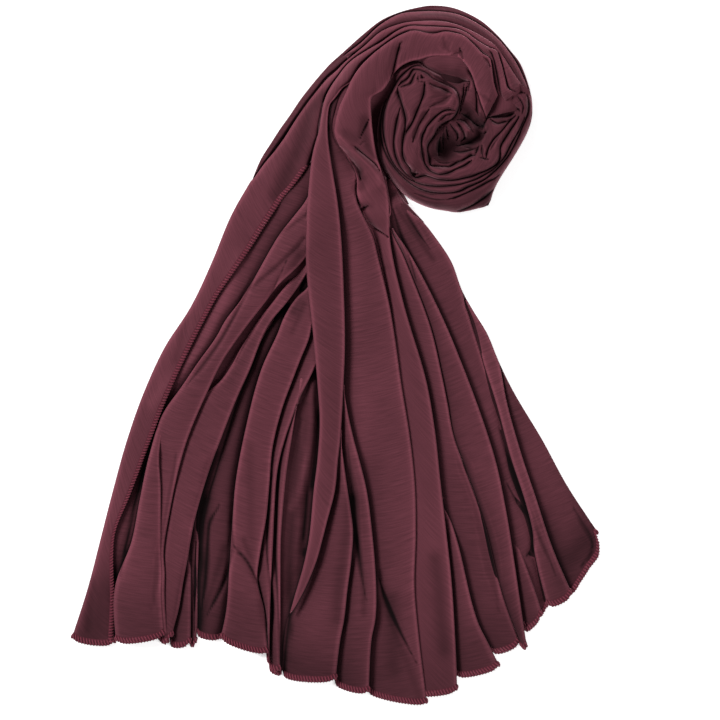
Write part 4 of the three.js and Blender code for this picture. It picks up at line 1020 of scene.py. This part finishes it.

# Fan, left of the middle strip
# This stretch's colour carries painted highlight along its length, up to 1.9 times
fold(fan_left, "flap edge", "flap fold", (128, 640), ("under", "under"), (0.6, 0.8), across=8, crown=0.04,
     tones=[(128, 1.35), (390, 1.9), (530, 1.9), (590, 1.3), (640, 1.0)])
fold(fan_left, *edges_on("left side", "flap edge", 165, FLAP_ON), (start_of(165, FLAP_ON), 655),
     ("over", "edge"),
     ([(-185, -1), (-170, 4.2), (165, 4.4), (655, 4.4)],
      [(-185, -3.8), (60, -3.8), (128, 3.6), (655, 3.6)]), end=(655, 644), across=30, crown=0.035,
     serge=128, ease=[(-185, 4), (60, 4), (165, 1.35), (655, 1.35)],
     creases=[valley([(187, 318), (177, 361)], -0.9, 4), valley([(93, 580), (88, 630)], -1.2, 4),
              valley([(165, 380), (120, 520)], 0.8, 9),
              valley([(322, 96), (310, 112), (304, 132), (298, 150), (288, 172), (278, 196)], -3, 9)],
     folds=[beside(STRIP_ON, 0.5),
            ("by strip", 3.4, 1.5, [(316, 138), (314, 148), (311, 158), (307, 168)])])
fold(fan_left, joined_edge("flap fold", "low pleat inside", 425, 18), "first pleat", (150, 627),
     ("over", "over"), ([(150, 5), (215, HIGH - 1), (395, HIGH - 1), (450, LOW), (640, LOW)], HIGH - 0.8),
     end=(622, 627), across=18,
     creases=[edge_valley("upper crease", 176, 202, -2.0, 2, 6),
              edge_valley("lower crease", 200, 262, -2.4, 2.2, 8)])
fold(fan_left, "flap fold", "low pleat", (392, 644), ("over", "over"),
     ([(392, -3), (402, -1), (450, HIGH)], [(392, -3), (402, -1), (450, HIGH)]), end=(641, 621))
fold(fan_left, "under first pleat", "second pleat", (208, 622), ("over", "over"),
     ([(208, 3), (236, 3.6), (365, 4.0), (400, LOW), (620, LOW)], HIGH - 0.6), end=(627, 620), across=16,
     creases=[edge_valley("second pleat crease", 520, 620, -1.6, 3.2)])
# This stretch's colour carries painted highlight towards its hem
fold(fan_left, "under second pleat", "third pleat", (218, 612), ("under", "under"), (LOW - 0.3, LOW),
     end=(611, 610), across=20, crown=0.11, tones=[(218, 1), (380, 1.1), (612, 1.2)],
     creases=[edge_valley("hollow crease", 520, 612, -1.3, 4)])
fold(fan_left, "small pleat", "smaller pleat", (476, 622), ("under", "over"),
     (LOW, [(476, -1), (490, 1), (530, HIGH - 3.4)]), end=(622, 620), across=6,
     folds=[("third", 2.6, 1.2, [(196, 540), (195, 580), (194.5, 630)])])
fold(fan_left, "second pleat", "small pleat", (528, 628), ("under", "over"),
     (LOW, [(528, -1), (540, 1), (570, HIGH - 2.8)]), end=(628, 622), across=6)
fold(fan_left, "third pleat", "fourth pleat", (245, 618), ("over", "over"), (HIGH, HIGH - 0.6),
     end=(611, 618), across=20, crown=0.02,
     creases=[valley([(305, 304), (300, 318), (293, 333)], -1.2, 3),
              valley([(251, 450), (253, 555)], -1.1, 5),
              edge_valley("third pleat crease", 508, 545, -1.6, 3)])
fold(fan_left, "fourth pleat", "fifth pleat", (292, 628), ("under", "over"), (LOW, HIGH - 1.2),
     end=(618, 627), across=8)
fold(fan_left, "fifth pleat", "sixth pleat", (340, 636), ("under", "over"), (LOW, HIGH - 1.6),
     end=(628, 634), across=8, short=14)
fold(fan_left, "fifth pleat", "strip left", (240, 637), ("under", "under"), (0.3, LOW), end=(633, 637),
     across=12, crown=0.05, short=19,
     creases=[edge_valley("strip crease", 345, 470, 2.2, 4), valley([(307, 500), (303, 550)], -1.0, 4)])

# Fan, middle strip and right
# This stretch's colour carries painted shade where it starts in the neck
fold(middle, *edges_on(joined_edge("strip right", "narrow pleat", 340, 8), "wide pleat", 140, WIDE_ON),
     (start_of(140, WIDE_ON), 670), ("under", "over"),
     (LOW, [(14, 0.5), (120, 1.0), (175, HIGH), (670, HIGH)]), end=(655, 671), across=26, crown=0.03,
     creases=[edge_valley("wide crease", 535, 665, -1.2, 4)], folds=WIDE_FOLDS, fine=190,
     tones=[(14, 0.6), (80, 0.62), (105, 0.8), (130, 1), (670, 1)])
fold(fan_right, joined_edge("strip right", "strip pleat", 392, 8), "narrow pleat", (345, 655),
     ("under", "over"), (LOW + 0.2, HIGH - 0.3), end=(645, 654),
     creases=[edge_valley("narrow pleat crease", 488, 575, -1.8, 3)])
fold(fan_right, "strip right", "strip pleat", (390, 645), ("under", "over"), (LOW + 0.2, HIGH + 0.3),
     end=(640, 641))
fold(middle, *edges_on("strip left", "strip right", 110, STRIP_ON), (start_of(110, STRIP_ON), 575),
     ("over", "over"),
     ([(-240, -1), (-225, 4.6), (0, 4.8), (110, 7.0), (200, HIGH + 1.8), (575, HIGH + 1.8)],
      [(-240, -3.6), (-30, -3.6), (60, 4.6), (110, 6.0), (200, HIGH + 1.8), (575, HIGH + 1.8)]),
     end=(575, 574), across=18, crown=0.045, ease=[(-240, 4), (-30, 4), (80, 1.5), (575, 1.35)],
     folds=[beside(FACET_ON, 0.4, 12)] + STRIP_FOLDS, hem=False)
fold(middle, *edges_on("under wide pleat", "facet pleat", 180, FACET_ON), (start_of(180, FACET_ON), 663),
     ("over", "over"),
     ([(-254, -1), (-238, 5.5), (100, 6.0), (150, 6.0), (190, LOW), (663, LOW)],
      [(-254, -3), (-238, 2.0), (20, 3.5), (180, HIGH - 0.4), (663, HIGH - 0.4)]), end=(660, 663),
     across=24,
     rests=[(-254, 17), (-200, 21), (-120, 23), (-20, 23), (40, 21), (80, 18.5), (120, 16), (150, 14),
            (190, 11)],
     creases=[valley([(383, 268), (396, 268)], -0.8, 2.5),
              valley([(341, 138), (350, 149), (361, 158.5), (371, 166), (378, 174), (382, 184)], 2.6, 3.2),
              valley([(367, 120), (366, 134), (370, 146), (377, 157)], -2.6, 5.5),
              valley([(346, 134), (357, 140)], -1.8, 5),
              valley([(353, 164), (358, 171), (362, 179), (361, 188)], -3.4, 4.2),
              valley([(370, 190), (380, 183)], 0.9, 6), valley([(361, 206), (370, 207)], -1.4, 3.5)],
     folds=FACET_FOLDS, fine=215)
fold(fan_right, "facet pleat", "facet pleat low", (468, 650), ("under", "over"),
     (LOW, [(468, -2), (478, 0), (525, HIGH - 1.4)]), end=(649, 649), across=7)
fold(fan_right,
     carried_on(joined_edge("facet pleat", "facet pleat low", 470, 8), 190,
                [(387, 203), (384.5, 191), (382, 179), (380, 168)]),
     carried_on("right pleat", 190, [(391, 213), (390, 202), (388, 190), (386, 178)]), (134, 640),
     ("under", "over"), (LOW, [(134, 3.0), (190, 4.6), (380, 4.4), (420, 2.6), (640, 2.6)]), end=(634, 632))
fold(fan_right, "right pleat", "right panel", (197, 638), ("under", "over"), (LOW, HIGH - 0.5),
     end=(633, 638))
fold(fan_right, carried_on("right panel", 195, [(389, 214), (388, 202), (387, 190), (386, 178)]),
     carried_on(joined_edge("right side", "sheer panel", 288, 8), 168, [(395, 186), (392, 176)]), (140, 612),
     ("under", "over"), (LOW + 0.3, [(140, 3.4), (290, 3.6), (350, 2.2), (390, LOW), (612, LOW)]),
     end=(618, 607), across=24, crown=0.06, creases=[edge_valley("neck crease", 180, 240, -1.8, 3.0)])
fold(fan_right, "right panel", "right panel low", (515, 622), ("under", "over"),
     (LOW, [(515, -2), (524, 0), (565, HIGH - 1.6)]), end=(622, 613), across=8)
side_fold = joined_edge("right side", "side fold", 360, 8)
fold(fan_right, side_fold, "right side", (366, 604), ("under", "side"), (LOW, [(366, 1), (380, 2.6)]),
     end=[(0, 604), (0.22, 594), (0.52, 584), (0.8, 578), (0.94, 569), (1, 561)], across=18, crown=0.03)
fold(fan_right, "sheer panel", side_fold, (291, 606), ("over", "over"),
     ([(291, -2), (330, 0.5), (410, HIGH - 2.2)], [(291, 2.0), (360, 4.2), (430, HIGH - 1.2)]),
     end=(606, 604), across=10)

# Ground layer under fan, neck and rosette
PLAIN = {"crown": 0.0, "lowest": 0.35}
BED_HEM = [(0, 638), (0.05, 628), (0.12, 608), (0.2, 604), (0.3, 596), (0.36, 602), (0.42, 626),
           (0.5, 648), (0.62, 657), (0.68, 646), (0.74, 632), (0.8, 618), (0.85, 600), (0.92, 590),
           (0.97, 568), (1, 548)]
BED_NECK = [(247, 192, 409, 204), (258, 170, 402, 190), (275, 143, 394, 172), (293, 116, 388, 150),
            (315, 87, 388, 126), (338, 60, 391, 104), (362, 38, 398, 84), (385, 22, 408, 66),
            (410, 12, 425, 60), (435, 9, 440, 60), (462, 16, 458, 62), (488, 34, 470, 72),
            (508, 54, 478, 88), (524, 80, 486, 104), (529, 108, 490, 116)]
strip(bed, fan_edge("left side"), fan_edge("right side"), (170, 600), ("edge", "edge"), (-0.6, -0.6),
      end=BED_HEM, across=60, step=8, **PLAIN)
ribbon(bed, BED_NECK, ("edge", "edge"), (-2.4, -2.4), across=24, step=6, **PLAIN)
# A disc of cloth deep in the coil's hole, its colour darkened to a third as painted shade
turns = np.radians(np.arange(0, 361, 12))
radii = curve([0, 45, 90, 130, 180, 225, 250, 290, 315, 345, 360],
              [70, 66, 60, 66, 74, 70, 92, 94, 84, 74, 70], np.degrees(turns))
disc = [(455 - r * math.cos(a), 112 - r * math.sin(a), 442 - 0.2 * math.cos(a), 148 - 0.2 * math.sin(a))
        for a, r in zip(turns, radii)]
ribbon(bed, disc, ("edge", "edge"), (-7.0, -16.0), across=24, step=6, tones=0.3, **PLAIN)

sheets = {"cloth_fan_left": fan_left, "cloth_fan_right": fan_right, "cloth_bed": bed,
          "cloth_middle": middle, "cloth_rosette": rosette, "cloth_stitching": stitching}
pieces = {name: sheet.build(name, THREAD_MAT if sheet is stitching else CLOTH_MAT)
          for name, sheet in sheets.items()}
for piece in pieces.values():
    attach(piece, "root")
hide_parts("fan_left")
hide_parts("fan_right")
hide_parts("fan_right")
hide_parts("neck_gather")
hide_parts("rosette_outer_turn", "rosette_lower_turn", "rosette_second_turn",
            "rosette_core")

# Floor, lights and camera
bpy.ops.mesh.primitive_plane_add(size=6.0, location=(0, 0, 0))
floor = bpy.context.object
floor.name = "floor"
floor_white = bpy.data.materials.new("floor_white")
floor_white.use_nodes = True
set_inputs(floor_white.node_tree.nodes["Principled BSDF"],
           {"Base Color": (0.9, 0.9, 0.9, 1), "Roughness": 0.9, "Emission Color": (1, 1, 1, 1),
            "Emission Strength": 0.5, "Specular IOR Level": 0.1})
floor.data.materials.append(floor_white)

world = bpy.data.worlds.new("soft_white")
world.use_nodes = True
set_inputs(world.node_tree.nodes["Background"], {"Color": (1, 1, 1, 1), "Strength": 0.2})
bpy.context.scene.world = world


def lamp(name, place, size, power):
    """A square soft light aimed at the middle of the part."""
    data = bpy.data.lights.new(name, "AREA")
    data.shape, data.size, data.energy = "SQUARE", size, power
    light = bpy.data.objects.new(name, data)
    light.location = place
    light.rotation_euler = (-Vector(place)).to_track_quat("-Z", "Y").to_euler()
    bpy.context.collection.objects.link(light)


lamp("key", (-3.0, 1.8, 2.7), 1.8, 250)
lamp("fill", (2.9, -1.8, 2.4), 2.2, 120)

SENSOR = 36.0                  # mm
cam_data = bpy.data.cameras.new("camera")
cam_data.sensor_width = SENSOR
cam_data.lens = SENSOR * EYE / (PHOTO * UNIT)
cam = bpy.data.objects.new("camera", cam_data)
cam.location = (-SHIFT[0] / 1000, -SHIFT[1] / 1000, EYE / 1000)
bpy.context.collection.objects.link(cam)
bpy.context.scene.camera = cam
bpy.context.scene.view_settings.view_transform = "Standard"
